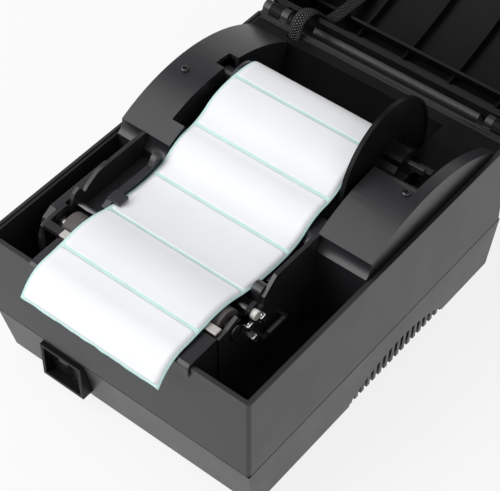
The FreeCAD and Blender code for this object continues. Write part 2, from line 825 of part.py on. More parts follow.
def roll_bay():
    half = "(inner_side - fit_gap)"
    across = (f"-{half}", half)
    back = "back_face - upper_wall - fit_gap"
    plate = box("bay_plate", across, ("hump_front_y", back),
                ("rim_level - bay_skirt", "rim_level - rim_step"))
    hump_axis = ("hump_mid_y", "hump_centre_z")
    bulge = common("bay_bulge", rod("bay_arch", "x", across, hump_axis, "hump_radius"),
                   box("bay_bulge_limit", across, ("hump_front_y", "hump_back_y"),
                       ("rim_level - bay_skirt", "rim_level + hump_rise + bond")))
    apron_block = box("apron_block", across, ("apron_y", "hump_front_y + bay_wall"),
                      ("crease_z - apron_height", "crease_z"))
    apron = cut("apron", apron_block,
                rod("apron_scoop", "x", widened(across, "bond"),
                    ("hump_front_y - apron_radius", "crease_z"), "apron_radius"))
    front_wall = box("bay_front_wall", across, ("apron_y", "apron_y + bay_wall"),
                     ("tray_top", "crease_z - apron_height + bond"))
    trough_x = ("-bay_left - bay_wall", "bay_right + bay_wall")
    trough = common("bay_trough",
                    rod("bay_tube", "x", trough_x, AXIS, "bay_radius + bay_wall"),
                    box("bay_tube_limit", trough_x,
                        ("spindle_y - 2 * bay_radius", "spindle_y + 2 * bay_radius"),
                        ("spindle_z - 2 * bay_radius", "rim_level - rim_step")))
    solid = fuse("bay_solid", plate, bulge, front_wall, trough, apron)
    hollow_arch = rod("bay_hollow_arch", "x", across, hump_axis, "hump_radius - bay_wall")
    left_hollow = box("bay_left_hollow",
                      (f"-{half} + bay_wall", "-bay_left - bay_wall"),
                      ("hump_front_y + bay_wall", "hump_back_y - bay_wall"),
                      ("rim_level - bay_skirt - bond", "rim_level + hump_rise"))
    right_hollow = box("bay_right_hollow",
                       ("bay_right + bay_wall", f"{half} - bay_wall"),
                       ("hump_front_y + bay_wall", "spindle_y - hub_radius - fit_gap - bay_wall"),
                       ("rim_level - bay_skirt - bond", "rim_level + hump_rise"))
    hollows = common("bay_hollows", group("bay_hollow_pair", left_hollow, right_hollow), hollow_arch)
    bay = rod("bay_bore", "x", ("-bay_left", "bay_right"), AXIS, "bay_radius")
    seats = []
    for name, seat_x, radius in (
            ("notch", ("-bay_left - bay_wall - bond - journal_length / 4", "-bay_left + bond"),
             "(journal_radius + fit_gap)"),
            ("recess", ("bay_right - bond", "hub_end"), "(hub_radius + fit_gap)"),
            ("channel", ("hub_end - bond", "rib_length + bond"), "(rib_radius + fit_gap)")):
        seats.append(rod(f"spindle_{name}", "x", seat_x, AXIS, radius))
        seats.append(box(f"spindle_{name}_mouth", seat_x,
                         (f"spindle_y - {radius}", f"spindle_y + {radius}"),
                         ("spindle_z", "rim_level + 2 * hump_rise")))
    shoulder_y = "hump_mid_y - shoulder_lead"
    shoulder_z = ("hump_centre_z + sqrt(pow(hump_radius, 2) - pow(shoulder_lead, 2))"
                  " - shoulder_radius")
    shelf_x = ("bay_right - bond", f"{half} - cheek_rail")
    shelf_floor = "rim_level - rim_step"
    shelf = cut("cheek_shelf",
                box("cheek_shelf_room", shelf_x, (shoulder_y, "hump_back_y + bond"),
                    (shelf_floor, "rim_level + 2 * hump_rise")),
                rod("cheek_shoulder", "x", widened(shelf_x, "bond"), (shoulder_y, shoulder_z),
                    "shoulder_radius"),
                box("cheek_shoulder_foot", widened(shelf_x, "bond"),
                    (f"{shoulder_y} - bond", f"{shoulder_y} + shoulder_radius"),
                    (f"{shelf_floor} - bond", shoulder_z)))
    lip = box("bay_lip", ("web_left - 2 * fit_gap", "bay_right"), ("apron_y - bond", "spindle_y"),
              (rise("lip_rise"), "rim_level + 2 * hump_rise"))
    slots = [box(f"plate_slot_{name}", widened(plate_x, "fit_gap"), ("apron_y - bond", "hump_front_y"),
                 ("tray_top - bond", "rim_level + hump_rise"))
             for name, plate_x in (("left", ("left_outer", "-frame_left")),
                                   ("right", ("frame_right", "right_outer")))]
    cable_slot = box("bay_cable_slot",
                     ("-cable_x - cable_width / 2 - fit_gap", "-cable_x + cable_width / 2 + fit_gap"),
                     (CABLE_SLOT, f"{CABLE_SLOT} + cable_slot_length"),
                     ("rim_level - bay_skirt - bond", "rim_level + bond"))
    screw_holes = [rod(f"bay_screw_hole_{side}", "z", ("rim_level - bay_skirt - bond", "lid_top"),
                       (f"({span[0]} + {span[1]}) / 2", setback("bay_screw_setback")),
                       "bay_screw_radius + running_gap")
                   for side, span in sides("bay_screw_x", "bay_screw_x")]
    node("roll_bay", cut("roll_bay", solid, hollows, bay, shelf, lip, cable_slot, *seats,
                         *slots, *screw_holes))


def bay_screws():
    """Screws through the tops of the cheeks, heads on the curved surface."""
    top = ("hump_centre_z + sqrt(pow(hump_radius, 2)"
           " - pow(front_face + bay_screw_setback - hump_mid_y, 2)) + fit_gap")
    screws = []
    for side, span in sides("bay_screw_x", "bay_screw_x"):
        centre = (f"({span[0]} + {span[1]}) / 2", setback("bay_screw_setback"))
        head = rod(f"bay_screw_head_{side}", "z", (top, f"{top} + bay_screw_height"), centre,
                   "bay_screw_head")
        shank = rod(f"bay_screw_shank_{side}", "z", (f"{top} - bay_screw_length", f"{top} + bond"),
                    centre, "bay_screw_radius")
        screws.append(fuse(f"bay_screw_{side}", head, shank))
    node("bay_screws", group("bay_screws", *screws))


def spindle():
    """Cross-ribbed spindle with a collar and a journal at its left end."""
    span = ("web_left - collar_width", "rib_length")
    rib = "rib_thickness / 2"
    reach = "rib_radius"
    cross = fuse("spindle_cross",
                 box("spindle_flat", span, (f"spindle_y - {reach}", f"spindle_y + {reach}"),
                     (f"spindle_z - {rib}", f"spindle_z + {rib}")),
                 box("spindle_upright", span, (f"spindle_y - {rib}", f"spindle_y + {rib}"),
                     (f"spindle_z - {reach}", f"spindle_z + {reach}")))
    outline = rod("spindle_outline", "x", span, AXIS, "rib_radius")
    collar = rod("spindle_collar", "x", ("web_left - core_overhang - fit_gap - collar_width",
                                         "web_left - core_overhang - fit_gap"), AXIS, "collar_radius")
    journal = rod("spindle_journal", "x", ("web_left - core_overhang - fit_gap - journal_length - collar_width",
                                           "web_left"), AXIS, "journal_radius")
    shaft = fuse("spindle_shaft", common("spindle_ribs", cross, outline), collar, journal)
    hollow = rod("spindle_hollow", "x", ("hub_end", "rib_length + bond"), AXIS, "finger_root")
    node("spindle", cut("spindle", shaft, hollow))


def tube(name, span, centre, outer, inner):
    """Straight tube along X."""
    wall = rod(f"{name}_outer", "x", span, centre, outer)
    bore = rod(f"{name}_bore", "x", widened(span, "bond"), centre, inner)
    return cut(name, wall, bore)


def roll():
    core = ("web_left - core_overhang", "web_right + core_overhang")
    node("roll_core", tube("roll_core", core, AXIS, "core_bore + core_wall", "core_bore"))
    node("label_roll", tube("label_roll", ("web_left", "web_right"), AXIS, "roll_radius",
                            "core_bore + core_wall"))


def sliding_flange():
    face = ("flange_x", "flange_x + flange_thickness")
    hub = (face[1], f"{face[1]} + hub_length")
    disc = rod("flange_disc", "x", face, AXIS, "flange_radius")
    dish = cut("flange_dish_ring",
               rod("flange_dish_cut", "x", (f"{face[1]} - flange_dish", f"{face[1]} + bond"), AXIS,
                   "flange_radius - flange_lip"),
               rod("flange_dish_keep", "x", (f"{face[1]} - flange_dish - bond", f"{face[1]} + 2 * bond"),
                   AXIS, "hub_radius + flange_lip"))
    collet = rod("flange_hub", "x", (face[0], hub[1]), AXIS, "hub_radius")
    bore = rod("flange_bore", "x", (f"{face[0]} - bond", f"{hub[1]} + bond"), AXIS,
               "rib_radius + fit_gap")
    slots = []
    for index in range(int(value("hub_slots"))):
        slot = box(f"flange_slot_{index}", (f"{face[1]} + bond", f"{hub[1]} + bond"),
                   ("-hub_radius - bond", "hub_radius + bond"), ("-hub_slot / 2", "hub_slot / 2"))
        turned = group(f"flange_slot_turned_{index}", slot)
        angle = 180.0 * index / value("hub_slots")
        turned.Placement = Placement(Vector(0, value("spindle_y"), value("spindle_z")),
                                     Rotation(Vector(1, 0, 0), angle))
        slots.append(turned)
    node("sliding_flange", cut("sliding_flange", fuse("flange_solid", disc, collet), dish, bore, *slots))


# Ribbons and springs

def rounded_path(points):
    """Straight runs joined by arcs as large as the shorter run allows, as (start, end, turn) legs."""
    legs = []
    at = points[0]
    for before, corner, after in zip(points, points[1:], points[2:]):
        arriving = (corner - before).normalize()
        leaving = (after - corner).normalize()
        turn = arriving.getAngle(leaving)
        side = math.copysign(1, arriving.x * leaving.y - arriving.y * leaving.x)
        reach = 0.45 * min((corner - before).Length, (after - corner).Length)
        radius = reach / math.tan(turn / 2)
        first, last = corner - arriving * reach, corner + leaving * reach
        centre = first + Vector(-arriving.y, arriving.x, 0) * side * radius
        middle = centre + (corner - centre).normalize() * radius
        legs.append(("line", at, first))
        legs.append(("arc", first, middle, last, centre, radius, side, turn))
        at = last
    legs.append(("line", at, points[-1]))
    return legs


def path_length(legs):
    total = 0
    for leg in legs:
        total += (leg[2] - leg[1]).Length if leg[0] == "line" else leg[5] * leg[7]
    return total


def side_edges(legs, offset):
    """Edges of a path moved sideways by an offset, to the left of its direction."""
    edges = []
    for leg in legs:
        if leg[0] == "line":
            along = (leg[2] - leg[1]).normalize()
            shift = Vector(-along.y, along.x, 0) * offset
            edges.append(Part.LineSegment(leg[1] + shift, leg[2] + shift).toShape())
        else:
            first, middle, last, centre, radius, side = leg[1:7]
            scale = (radius - side * offset) / radius
            moved = [centre + (spot - centre) * scale for spot in (first, middle, last)]
            edges.append(Part.Arc(*moved).toShape())
    return edges


def ribbon(points, thickness, low, high):
    """Strip of even thickness that follows points in the YZ plane, from one X to another."""
    legs = rounded_path(points)
    left, right = side_edges(legs, thickness / 2), side_edges(legs, -thickness / 2)
    ends = [Part.LineSegment(left[0].firstVertex().Point, right[0].firstVertex().Point).toShape(),
            Part.LineSegment(left[-1].lastVertex().Point, right[-1].lastVertex().Point).toShape()]
    wire = Part.Wire(Part.__sortEdges__(left + right + ends))
    solid = Part.Face(wire).extrude(Vector(0, 0, high - low))
    flat = path_length(legs) * thickness * (high - low)
    print("ribbon length", round(path_length(legs), 2), "volume ratio", round(solid.Volume / flat, 5))
    return solid, Placement(Vector(low, 0, 0), Rotation(0.5, 0.5, 0.5, 0.5))


def curl_points(radius, pitch, curls, start):
    """Points on a helix about Z, eight to a turn."""
    steps = 8
    points = []
    for index in range(int(steps * curls) + 1):
        angle = 2 * math.pi * index / steps
        points.append(Vector(radius * math.cos(angle), radius * math.sin(angle),
                             start + pitch * index / steps))
    return points


def coil(radius, wire_radius, pitch, curls):
    """Spring along Z from z = 0: one unbroken tube on quarter-turn arcs, with straight ends."""
    tail = 2 * wire_radius
    points = curl_points(radius, pitch, curls, 0)
    edges = []
    for index in range(0, len(points) - 2, 2):
        edges.append(Part.Arc(points[index], points[index + 1], points[index + 2]).toShape())
    first = edges[0].tangentAt(edges[0].FirstParameter)
    last = edges[-1].tangentAt(edges[-1].LastParameter)
    start = points[0] - first * tail
    end = points[-1] + last * tail
    edges.insert(0, Part.LineSegment(start, points[0]).toShape())
    edges.append(Part.LineSegment(points[-1], end).toShape())
    path = Part.Wire(edges)
    section = Part.Wire(Part.Circle(start, first, wire_radius).toShape())
    solid = path.makePipeShell([section], True, False)
    print("spring gap between curls", round(pitch - 2 * wire_radius, 3), "turns", curls)
    return solid


# Label web

def web_points():
    """Corners of the web's path from the roll, over hump, deck, rod, platen and ramp, to its end."""
    above = "web_thickness / 2 + fit_gap"
    corners = [
        ("spindle_y + 5", f"spindle_z + roll_radius + {above}"),
        ("spindle_y - 21", f"spindle_z + roll_radius + {above} - 0.4"),
        ("hump_front_y + 19", f"seam_level + lip_rise + 4.2 + {above}"),
        ("hump_front_y + 5", f"seam_level + lip_rise + 3.9 + {above}"),
        ("hump_front_y - 8", f"deck_top + 3.4 + {above}"),
        ("rod_y + 10", f"rod_z + 0.9 + {above}"),
        ("platen_y + 1", f"platen_z + platen_radius + 1.7 + {above}"),
        ("front_face + ramp_back - 7", f"ramp_top + ramp_slope + 0.9 + {above}"),
        ("front_face - 0.5", f"ramp_top + 1.1 + {above}"),
        ("front_face - 9", f"ramp_top - 4.6 + {above}"),
        ("front_face - 12.6", f"ramp_top - 10.2 + {above}"),
    ]
    return [Vector(value(along), value(up), 0) for along, up in corners]


def label_web():
    strip, place = ribbon(web_points(), value("web_thickness"), value("web_left"), value("web_right"))
    node("label_web", coded("label_web", strip, place))


# Chassis

def pocket_tray():
    half = "(inner_side - fit_gap)"
    plate = box("tray_plate", (f"-{half}", half),
                ("front_face + upper_wall + fit_gap", "hump_front_y"),
                ("tray_top - tray_thickness", "tray_top"))
    window = box("tray_window", ("-frame_left + ear_drop", "frame_right - ear_drop"),
                 ("front_face + ramp_back", "hump_front_y - 2 * ear_drop"),
                 ("tray_top - 2 * tray_thickness", "tray_top + bond"))
    clips = [box(f"tray_clip_{number}", (f"frame_right + {offset}", f"frame_right + {offset} + tray_ledge"),
                 (setback(f"frame_front + {along}"), setback(f"frame_front + {along} + plate_thickness")),
                 ("tray_top - bond", "tray_top + 2 * tray_ledge"))
             for number, (offset, along) in enumerate((("ear_drop", "ear_drop"),
                                                       ("2 * ear_drop", "ear_drop"),
                                                       ("2 * ear_drop", "3 * ear_drop")))]
    node("pocket_tray", fuse("pocket_tray", cut("tray_sheet", plate, window), *clips))


PLATE_BACK = "hump_front - 2 * fit_gap"


def bar_span():
    """Front and back of the tear bar and of the block that ends it on the left."""
    return (setback("frame_front + ramp_gap"), setback("frame_front + ramp_gap + bar_width"))


def left_frame():
    outline = profile([
        ("frame_front", "tray_rise"), ("frame_front", "frame_top - 5.6"),
        ("frame_front + 6.2", "frame_top - 4.6"), ("platen_setback + 4.5", "frame_top - 4.6"),
        ("platen_setback + 7", "frame_top - 7"), ("rod_setback - 1.5", "frame_top - 2"),
        ("rod_setback + 2", "frame_top - 0.6"), ("rod_setback + 5", "frame_top - 5.6"),
        ("rod_setback + 7.5", "frame_top - 3.6"), ("rod_setback + 14.5", "frame_top - 0.1"),
        ("rod_setback + 20", "frame_top"), (PLATE_BACK, "frame_top - 0.2"),
        (PLATE_BACK, "tray_rise")])
    plate = prism("left_plate", "x", outline, ("left_outer", "-frame_left"))
    block = box("bar_block", ("-frame_left - bond", "-frame_left + bar_holder"), bar_span(),
                ("bar_top - 2 * bar_thickness", "bar_top"))
    span = widened(("left_outer", "-frame_left"), "bond")
    node("left_frame", cut("left_frame", fuse("left_solid", plate, block),
                           rod("left_bush_hole", "x", span, ("platen_y", "platen_z"), "bush_radius"),
                           rod("left_rod_hole", "x", span, ("rod_y", "rod_z"), "rod_radius"),
                           rod("left_idler_hole", "x", span, ("idler_y", "idler_z"), "idler_pin_radius"),
                           rod("left_motor_hole", "x", span, ("motor_y", "motor_z"), "motor_boss_radius"),
                           *motor_screw_rods("left_motor_screw", span,
                                             "motor_screw_radius + running_gap")))


def right_frame():
    outline = profile([
        ("frame_front", "tray_rise"), ("frame_front", "frame_top - 6.3"),
        ("frame_front + 6", "frame_top - 5.5"), ("platen_setback + 1.5", "frame_top - 3.1"),
        ("platen_setback + 7", "frame_top - 13.1"), ("rod_setback - 2.5", "frame_top - 5.6"),
        ("rod_setback + 3.5", "frame_top - 5.6"), ("rod_setback + 4", "frame_top - 11.6"),
        ("rod_setback + 7.5", "frame_top - 11.6"), ("rod_setback + 8.2", "frame_top - 7"),
        ("rod_setback + 16.8", "frame_top"), (PLATE_BACK, "frame_top - 0.2"),
        (PLATE_BACK, "tray_rise")])
    plate = prism("right_plate", "x", outline, ("frame_right", "right_outer"))
    span = widened(("frame_right", "right_outer"), "bond")
    posts = [rod(f"spring_post_{number}", "x", ("right_outer - bond", "right_outer + post_length"),
                 (place, rise("spring_rise")), "post_radius")
             for number, place in enumerate(spring_posts())]
    screws = [rod(f"frame_screw_hole_{number}", "x", span, spot, "frame_screw_radius + running_gap")
              for number, spot in enumerate(frame_screw_spots())]
    solid = fuse("right_solid", plate, *posts)
    node("right_frame", cut("right_frame", solid,
                            rod("right_bush_hole", "x", span, ("platen_y", "platen_z"), "bush_radius"),
                            rod("right_rod_hole", "x", span, ("rod_y", "rod_z"), "rod_radius"),
                            *screws))


def spring_posts():
    """Where the two posts of the small tension spring stand, front and back."""
    length = "spring_pitch * spring_curls"
    gap = "(post_radius + 2 * spring_wire + fit_gap)"
    return (setback(f"spring_setback - {gap}"), setback(f"spring_setback + {length} + {gap}"))


def frame_screw_spots():
    return (("rod_y", rise("frame_screw_low")),
            ("rod_y + frame_screw_step", rise("frame_screw_mid")),
            ("platen_y + bush_radius + screw_head_radius + fit_gap", rise("frame_screw_high")))


def frame_hardware():
    screws = []
    for number, spot in enumerate(frame_screw_spots()):
        head = rod(f"frame_screw_head_{number}", "x",
                   ("right_outer", "right_outer + screw_head_height"), spot, "screw_head_radius")
        shank = rod(f"frame_screw_shank_{number}", "x",
                    ("frame_right - screw_head_height", "right_outer + bond"), spot,
                    "frame_screw_radius")
        screws.append(fuse(f"frame_screw_{number}", head, shank))
    node("frame_screws", group("frame_screws", *screws))
    spot = Vector(value("right_outer + spring_offset"), value(setback("spring_setback")),
                  value(rise("spring_rise")))
    spring = coil(value("spring_radius"), value("spring_wire"), value("spring_pitch"),
                  int(value("spring_curls")))
    node("frame_spring", coded("frame_spring", spring, Placement(spot, TURNS["y"])))
    rod_axis = ("rod_y", "rod_z")
    rod_end = "right_outer + rod_bush_length - rod_bush_cap"
    node("guide_rod", rod("guide_rod", "x", ("left_outer", f"{rod_end} - fit_gap"), rod_axis,
                          "rod_radius"))
    node("rod_bush", cut("rod_bush",
                         rod("rod_bush_outer", "x", ("right_outer", "right_outer + rod_bush_length"),
                             rod_axis, "rod_bush_radius"),
                         rod("rod_bush_bore", "x", ("right_outer - bond", rod_end), rod_axis,
                             "rod_radius")))


def media_deck():
    plate = box("deck_plate", ("-frame_left", "frame_right"),
                (setback("deck_front"), "apron_y - fit_gap"),
                ("deck_top - deck_thickness", "deck_top"))
    slot = box("deck_slot", ("web_left - guide_wall - guide_travel - 2 * fit_gap", "web_left"),
               (setback("guide_foot_front + guide_foot_length / 2 - guide_stem / 2 - fit_gap"),
                setback("guide_foot_front + guide_foot_length / 2 + guide_stem / 2 + fit_gap")),
               ("deck_top - deck_thickness - bond", "deck_top + bond"))
    node("media_deck", cut("media_deck", plate, slot))
    node("gap_sensor", box("gap_sensor", ("-sensor_width / 2", "sensor_width / 2"),
                           (setback("sensor_setback"), setback("sensor_setback + sensor_length")),
                           ("deck_top", "deck_top + sensor_height")))


def guides():
    inner = "web_left - fit_gap"
    fence_x = (f"{inner} - guide_wall", inner)
    low = "deck_rise + fit_gap"
    fence = prism("guide_fence", "x", profile([
        ("guide_front", low), ("guide_back", low),
        ("guide_back", f"{low} + guide_height + guide_horn - guide_tip / 2"),
        ("guide_back - guide_tip / 5", f"{low} + guide_height + guide_horn - guide_tip / 6"),
        ("guide_back - guide_tip / 2", f"{low} + guide_height + guide_horn"),
        ("guide_back - guide_tip", f"{low} + guide_height + guide_horn"),
        ("guide_back - 4 / 3 * guide_tip", f"{low} + guide_height + guide_horn - guide_tip / 5"),
        ("guide_back - 5 / 3 * guide_tip", f"{low} + guide_height + guide_horn - 2 / 3 * guide_tip"),
        ("guide_back - 2 * guide_tip", f"{low} + guide_height"),
        ("tab_front + tab_length", f"{low} + guide_height"),
        ("tab_front", f"{low} + guide_height"),
        ("guide_front", f"{low} + guide_height - guide_tip / 2")]), fence_x)
    foot = box("guide_foot", (f"{inner} - guide_foot_width", inner),
               (setback("guide_foot_front"), setback("guide_foot_front + guide_foot_length")),
               (rise(low), rise(f"{low} + guide_foot_height")))
    stem = box("guide_stem_block", fence_x,
               (setback("guide_foot_front + guide_foot_length / 2 - guide_stem / 2"),
                setback("guide_foot_front + guide_foot_length / 2 + guide_stem / 2")),
               (rise("deck_rise - deck_thickness"), rise(f"{low} + bond")))
    tab = box("guide_tab", (f"{inner} - guide_wall", f"{inner} + tab_reach"),
              (setback("tab_front"), setback("tab_front + tab_length")),
              (rise(f"{low} + tab_clearance"), rise(f"{low} + tab_clearance + tab_height")))
    node("left_guide", fuse("left_guide", fence, foot, stem, tab))
    stop_x = ("web_right + fit_gap", "frame_right")
    block = box("stop_block", stop_x,
                (setback("stop_setback - stop_radius"), setback("stop_setback + stop_radius")),
                ("deck_top", rise("stop_rise")))
    crown = rod("stop_crown", "x", stop_x, (setback("stop_setback"), rise("stop_rise")), "stop_radius")
    lug = box("stop_lug", ("web_right + 2 * fit_gap", "frame_right"),
              (setback("stop_setback + 2 * stop_radius"), setback("stop_setback + 3 * stop_radius")),
              ("deck_top", "deck_top + stop_radius"))
    link = box("stop_link", ("frame_right - plate_thickness", "frame_right"),
               (setback("stop_setback"), setback("stop_setback + 3 * stop_radius")),
               ("deck_top", "deck_top + plate_thickness"))
    node("right_guide", fuse("right_guide", block, crown, lug, link))


def exit_ramp():
    across = ("-ramp_left", "ramp_right")
    top = "ramp_top"
    under = "ramp_top - ramp_wall"
    front = "front_face - ramp_gap"
    plate = prism("ramp_plate", "x", [
        (f"{front} - ramp_lip_wall", f"{under} - ramp_lip"),
        (f"{front} - ramp_lip_wall", f"{top} - ramp_lip_wall"),
        (f"{front} + ramp_lip_wall / 2", top),
        (setback("ramp_back"), f"{top} + ramp_slope"),
        (setback("ramp_back"), f"{under} + ramp_slope"),
        (front, under), (front, f"{under} - ramp_lip")], across)
    skirts = [box(f"ramp_skirt_{name}", span,
                  ("front_face + upper_wall + fit_gap", setback("ramp_back")), ("tray_top", f"{under} + bond"))
              for name, span in (("left", ("-ramp_left", "-ramp_left + ramp_wall")),
                                 ("right", ("ramp_right - ramp_wall", "ramp_right")))]
    node("exit_ramp", fuse("exit_ramp", plate, *skirts))
    bar = box("tear_bar_strip", ("-frame_left + bar_holder", "frame_right"), bar_span(),
              ("bar_top - bar_thickness", "bar_top"))
    node("tear_bar", bar)


# Drive

def gear_outline(teeth, module, turn):
    """Outline of a straight-flanked gear in the YZ plane, one tooth at the turn angle."""
    pitch_radius = module * teeth / 2
    tip, root = pitch_radius + 0.85 * module, pitch_radius - 1.1 * module
    step = 2 * math.pi / teeth
    spots = []
    for index in range(teeth):
        middle = turn + step * index
        for radius, share in ((root, -0.3), (tip, -0.11), (tip, 0.11), (root, 0.3)):
            angle = middle + step * share
            spots.append(Vector(0, radius * math.cos(angle), radius * math.sin(angle)))
    return Part.Face(Part.makePolygon(spots + spots[:1]))


def gear(name, teeth, centre, turn, bore):
    """Gear on the outer side of the left plate, with a bore."""
    solid = gear_outline(int(value(teeth)), value("gear_module"), turn)
    solid = solid.extrude(Vector(value("gear_width"), 0, 0))
    hole = Part.makeCylinder(value(bore), value("gear_width"), Vector(), Vector(1, 0, 0))
    solid = solid.cut(hole) if value(bore) > 0 else solid
    return coded(name, solid, Placement(Vector(value("gear_left"), value(centre[0]), value(centre[1])),
                                        Rotation()))


def motor_screw_rods(name, span, radius):
    """Two rods at the rear mounting holes of the motor."""
    return [rod(f"{name}_{number}", "x", span,
                ("motor_y + motor_screw_spread", f"motor_z {sign} motor_screw_spread"), radius)
            for number, sign in enumerate("+-")]


def drive():
    axis = ("platen_y", "platen_z")
    rubber_x = ("-frame_left + platen_inset", "frame_right - platen_inset / 2")
    node("platen_shaft", fuse("platen_shaft",
                              rod("platen_core", "x", ("left_outer", "right_outer"), axis,
                                  "platen_shaft_radius"),
                              rod("platen_stub", "x", ("gear_left", "left_outer + bond"), axis,
                                  "platen_stub_radius")))
    node("platen_rubber", tube("platen_rubber", rubber_x, axis, "platen_radius", "platen_shaft_radius"))
    bushes = []
    for name, span, flange in (
            ("left", ("left_outer", "-frame_left"), ("-frame_left", "-frame_left + bush_flange_width")),
            ("right", ("frame_right", "right_outer"), ("frame_right - bush_flange_width", "frame_right"))):
        barrel = rod(f"bush_barrel_{name}", "x", span, axis, "bush_radius")
        rim = rod(f"bush_rim_{name}", "x", flange, axis, "bush_flange")
        bore = rod(f"bush_bore_{name}", "x", ("left_outer - bond", "right_outer + bond"), axis,
                   "platen_shaft_radius + running_gap")
        bushes.append(cut(f"bush_{name}", fuse(f"bush_solid_{name}", barrel, rim), bore))
    node("platen_bushes", group("platen_bushes", *bushes))
    # Each gear has a tooth towards its driver and a gap towards the gear it drives.
    slope = -math.radians(value("drive_angle"))
    idler_turn = slope
    platen_turn = slope + math.pi / value("platen_teeth")
    pinion_turn = slope + math.pi + math.pi / value("pinion_teeth")
    node("platen_gear", gear("platen_gear", "platen_teeth", axis, platen_turn, "platen_stub_radius"))
    idler_turn += 0 if int(value("idler_teeth")) % 2 == 0 else math.pi / value("idler_teeth")
    node("idler_gear", gear("idler_gear", "idler_teeth", ("idler_y", "idler_z"), idler_turn,
                            "idler_pin_radius + running_gap"))
    pin = rod("idler_pin", "x", ("gear_left", "-frame_left"), ("idler_y", "idler_z"), "idler_pin_radius")
    node("idler_shaft", pin)
    motor_axis = ("motor_y", "motor_z")
    pinion = gear("pinion_teeth_ring", "pinion_teeth", motor_axis, pinion_turn, "motor_shaft_radius")
    shaft = rod("pinion_shaft", "x", ("gear_left", "-frame_left + motor_boss_radius"), motor_axis,
                "motor_shaft_radius")
    node("motor_pinion", fuse("motor_pinion", pinion, shaft))
    half = "motor_size / 2"
    can = prism("motor_can", "x", octagon(motor_axis, half),
                ("-frame_left", "-frame_left + motor_length"))
    boss = rod("motor_boss", "x", ("left_outer", "-frame_left + bond"), motor_axis,
               "motor_boss_radius")
    bore = rod("motor_bore", "x", ("left_outer - bond", "-frame_left + motor_boss_radius + bond"),
               motor_axis, "motor_shaft_radius + running_gap")
    threads = motor_screw_rods("motor_thread", ("-frame_left - bond", "-frame_left + motor_boss_radius"),
                               "motor_screw_radius + running_gap")
    node("stepper_motor", cut("stepper_motor", fuse("motor_solid", can, boss), bore, *threads))
    heads = motor_screw_rods("motor_screw_head", ("left_outer - motor_screw_height", "left_outer"),
                             "motor_screw_head")
    shanks = motor_screw_rods("motor_screw_shank",
                              ("left_outer - bond", "-frame_left + motor_boss_radius"),
                              "motor_screw_radius")
    screws = [fuse(f"motor_screw_{number}", head, shank)
              for number, (head, shank) in enumerate(zip(heads, shanks))]
    node("motor_screws", group("motor_screws", *screws))


def octagon(centre, half):
    """Square outline with its corners cut, about a centre in the YZ plane."""
    trim = f"({half} - motor_boss_radius)"
    spots = []
    for first, second in ((f"+ {half}", f"+ {trim}"), (f"+ {trim}", f"+ {half}"),
                          (f"- {trim}", f"+ {half}"), (f"- {half}", f"+ {trim}"),
                          (f"- {half}", f"- {trim}"), (f"- {trim}", f"- {half}"),
                          (f"+ {trim}", f"- {half}"), (f"+ {half}", f"- {trim}")):
        spots.append((f"{centre[0]} {first}", f"{centre[1]} {second}"))
    return spots


def cover_outline(inset):
    low, high = f"tray_rise + {inset}", f"cover_top - {inset}"
    front, back = f"cover_front + {inset}", f"cover_back - {inset}"
    return profile([(front, low), (front, f"{high} - 2.1 * cover_chamfer"),
                    (f"{front} + 0.73 * cover_chamfer", f"{high} - 0.48 * cover_chamfer"),
                    (f"{front} + 1.63 * cover_chamfer", high), (f"{back} - cover_rear_chamfer", high),
                    (back, f"{high} - cover_rear_chamfer"), (back, low)])


def gear_cover():
    outer = prism("cover_outer", "x", cover_outline("0"), ("left_outer - cover_depth", "left_outer"))
    inner = prism("cover_inner", "x", cover_outline("cover_wall"),
                  ("left_outer - cover_depth + cover_wall", "left_outer + bond"))
    node("gear_cover", cut("gear_cover", outer, inner))


# Switch, board and ports

def switch():
    rim_depth = "switch_proud + front_taper + base_wall"
    rim = box("switch_rim", SWITCH_X, ("0", rim_depth), SWITCH_Z)
    body = box("switch_body", widened(SWITCH_X, "-switch_bezel / 2"), ("bond", "switch_body_depth"),
               widened(SWITCH_Z, "-switch_bezel / 2"))
    well = box("switch_well_cut", widened(SWITCH_X, "-switch_bezel"), ("-bond", "switch_well"),
               widened(SWITCH_Z, "-switch_bezel"))
    pivot_y = "(switch_well - rocker_depth)"
    hole = rod("switch_pivot_hole", "z", widened(SWITCH_Z, "-switch_bezel / 2 - bond"), ("0", pivot_y),
               "rocker_pin_radius + running_gap")
    housing = cut("switch_shell", fuse("switch_solid", rim, body), well, hole)
    node("switch_housing", on_front_wall("switch_housing", housing))
    # The rocker is a shallow V seen from above, tilted to one end of its travel.
    half = "(switch_width / 2 - switch_bezel - rocker_gap)"
    lean = f"{half} * tan(rocker_tilt * 1 deg)"
    plate = prism("rocker_plate", "z", [
        (f"-{half}", f"{pivot_y} - rocker_thickness - {lean}"),
        ("0", f"{pivot_y} - rocker_thickness"),
        (half, f"{pivot_y} - rocker_thickness - {lean}"),
        (half, f"{pivot_y} - {lean}"),
        ("0", f"{pivot_y} + rocker_pin_radius"),
        (f"-{half}", f"{pivot_y} - {lean}")], widened(SWITCH_Z, "-switch_bezel - rocker_gap"))
    pin = rod("rocker_pin", "z", widened(SWITCH_Z, "-switch_bezel / 2 - 2 * bond"), ("0", pivot_y),
              "rocker_pin_radius")
    paddle = group("rocker_paddle", fuse("rocker_solid", plate, pin))
    paddle.Placement = Placement(Vector(), Rotation(Vector(0, 0, 1), -value("rocker_tilt")),
                                 Vector(0, value(pivot_y), 0))
    node("rocker", on_front_wall("rocker", paddle))


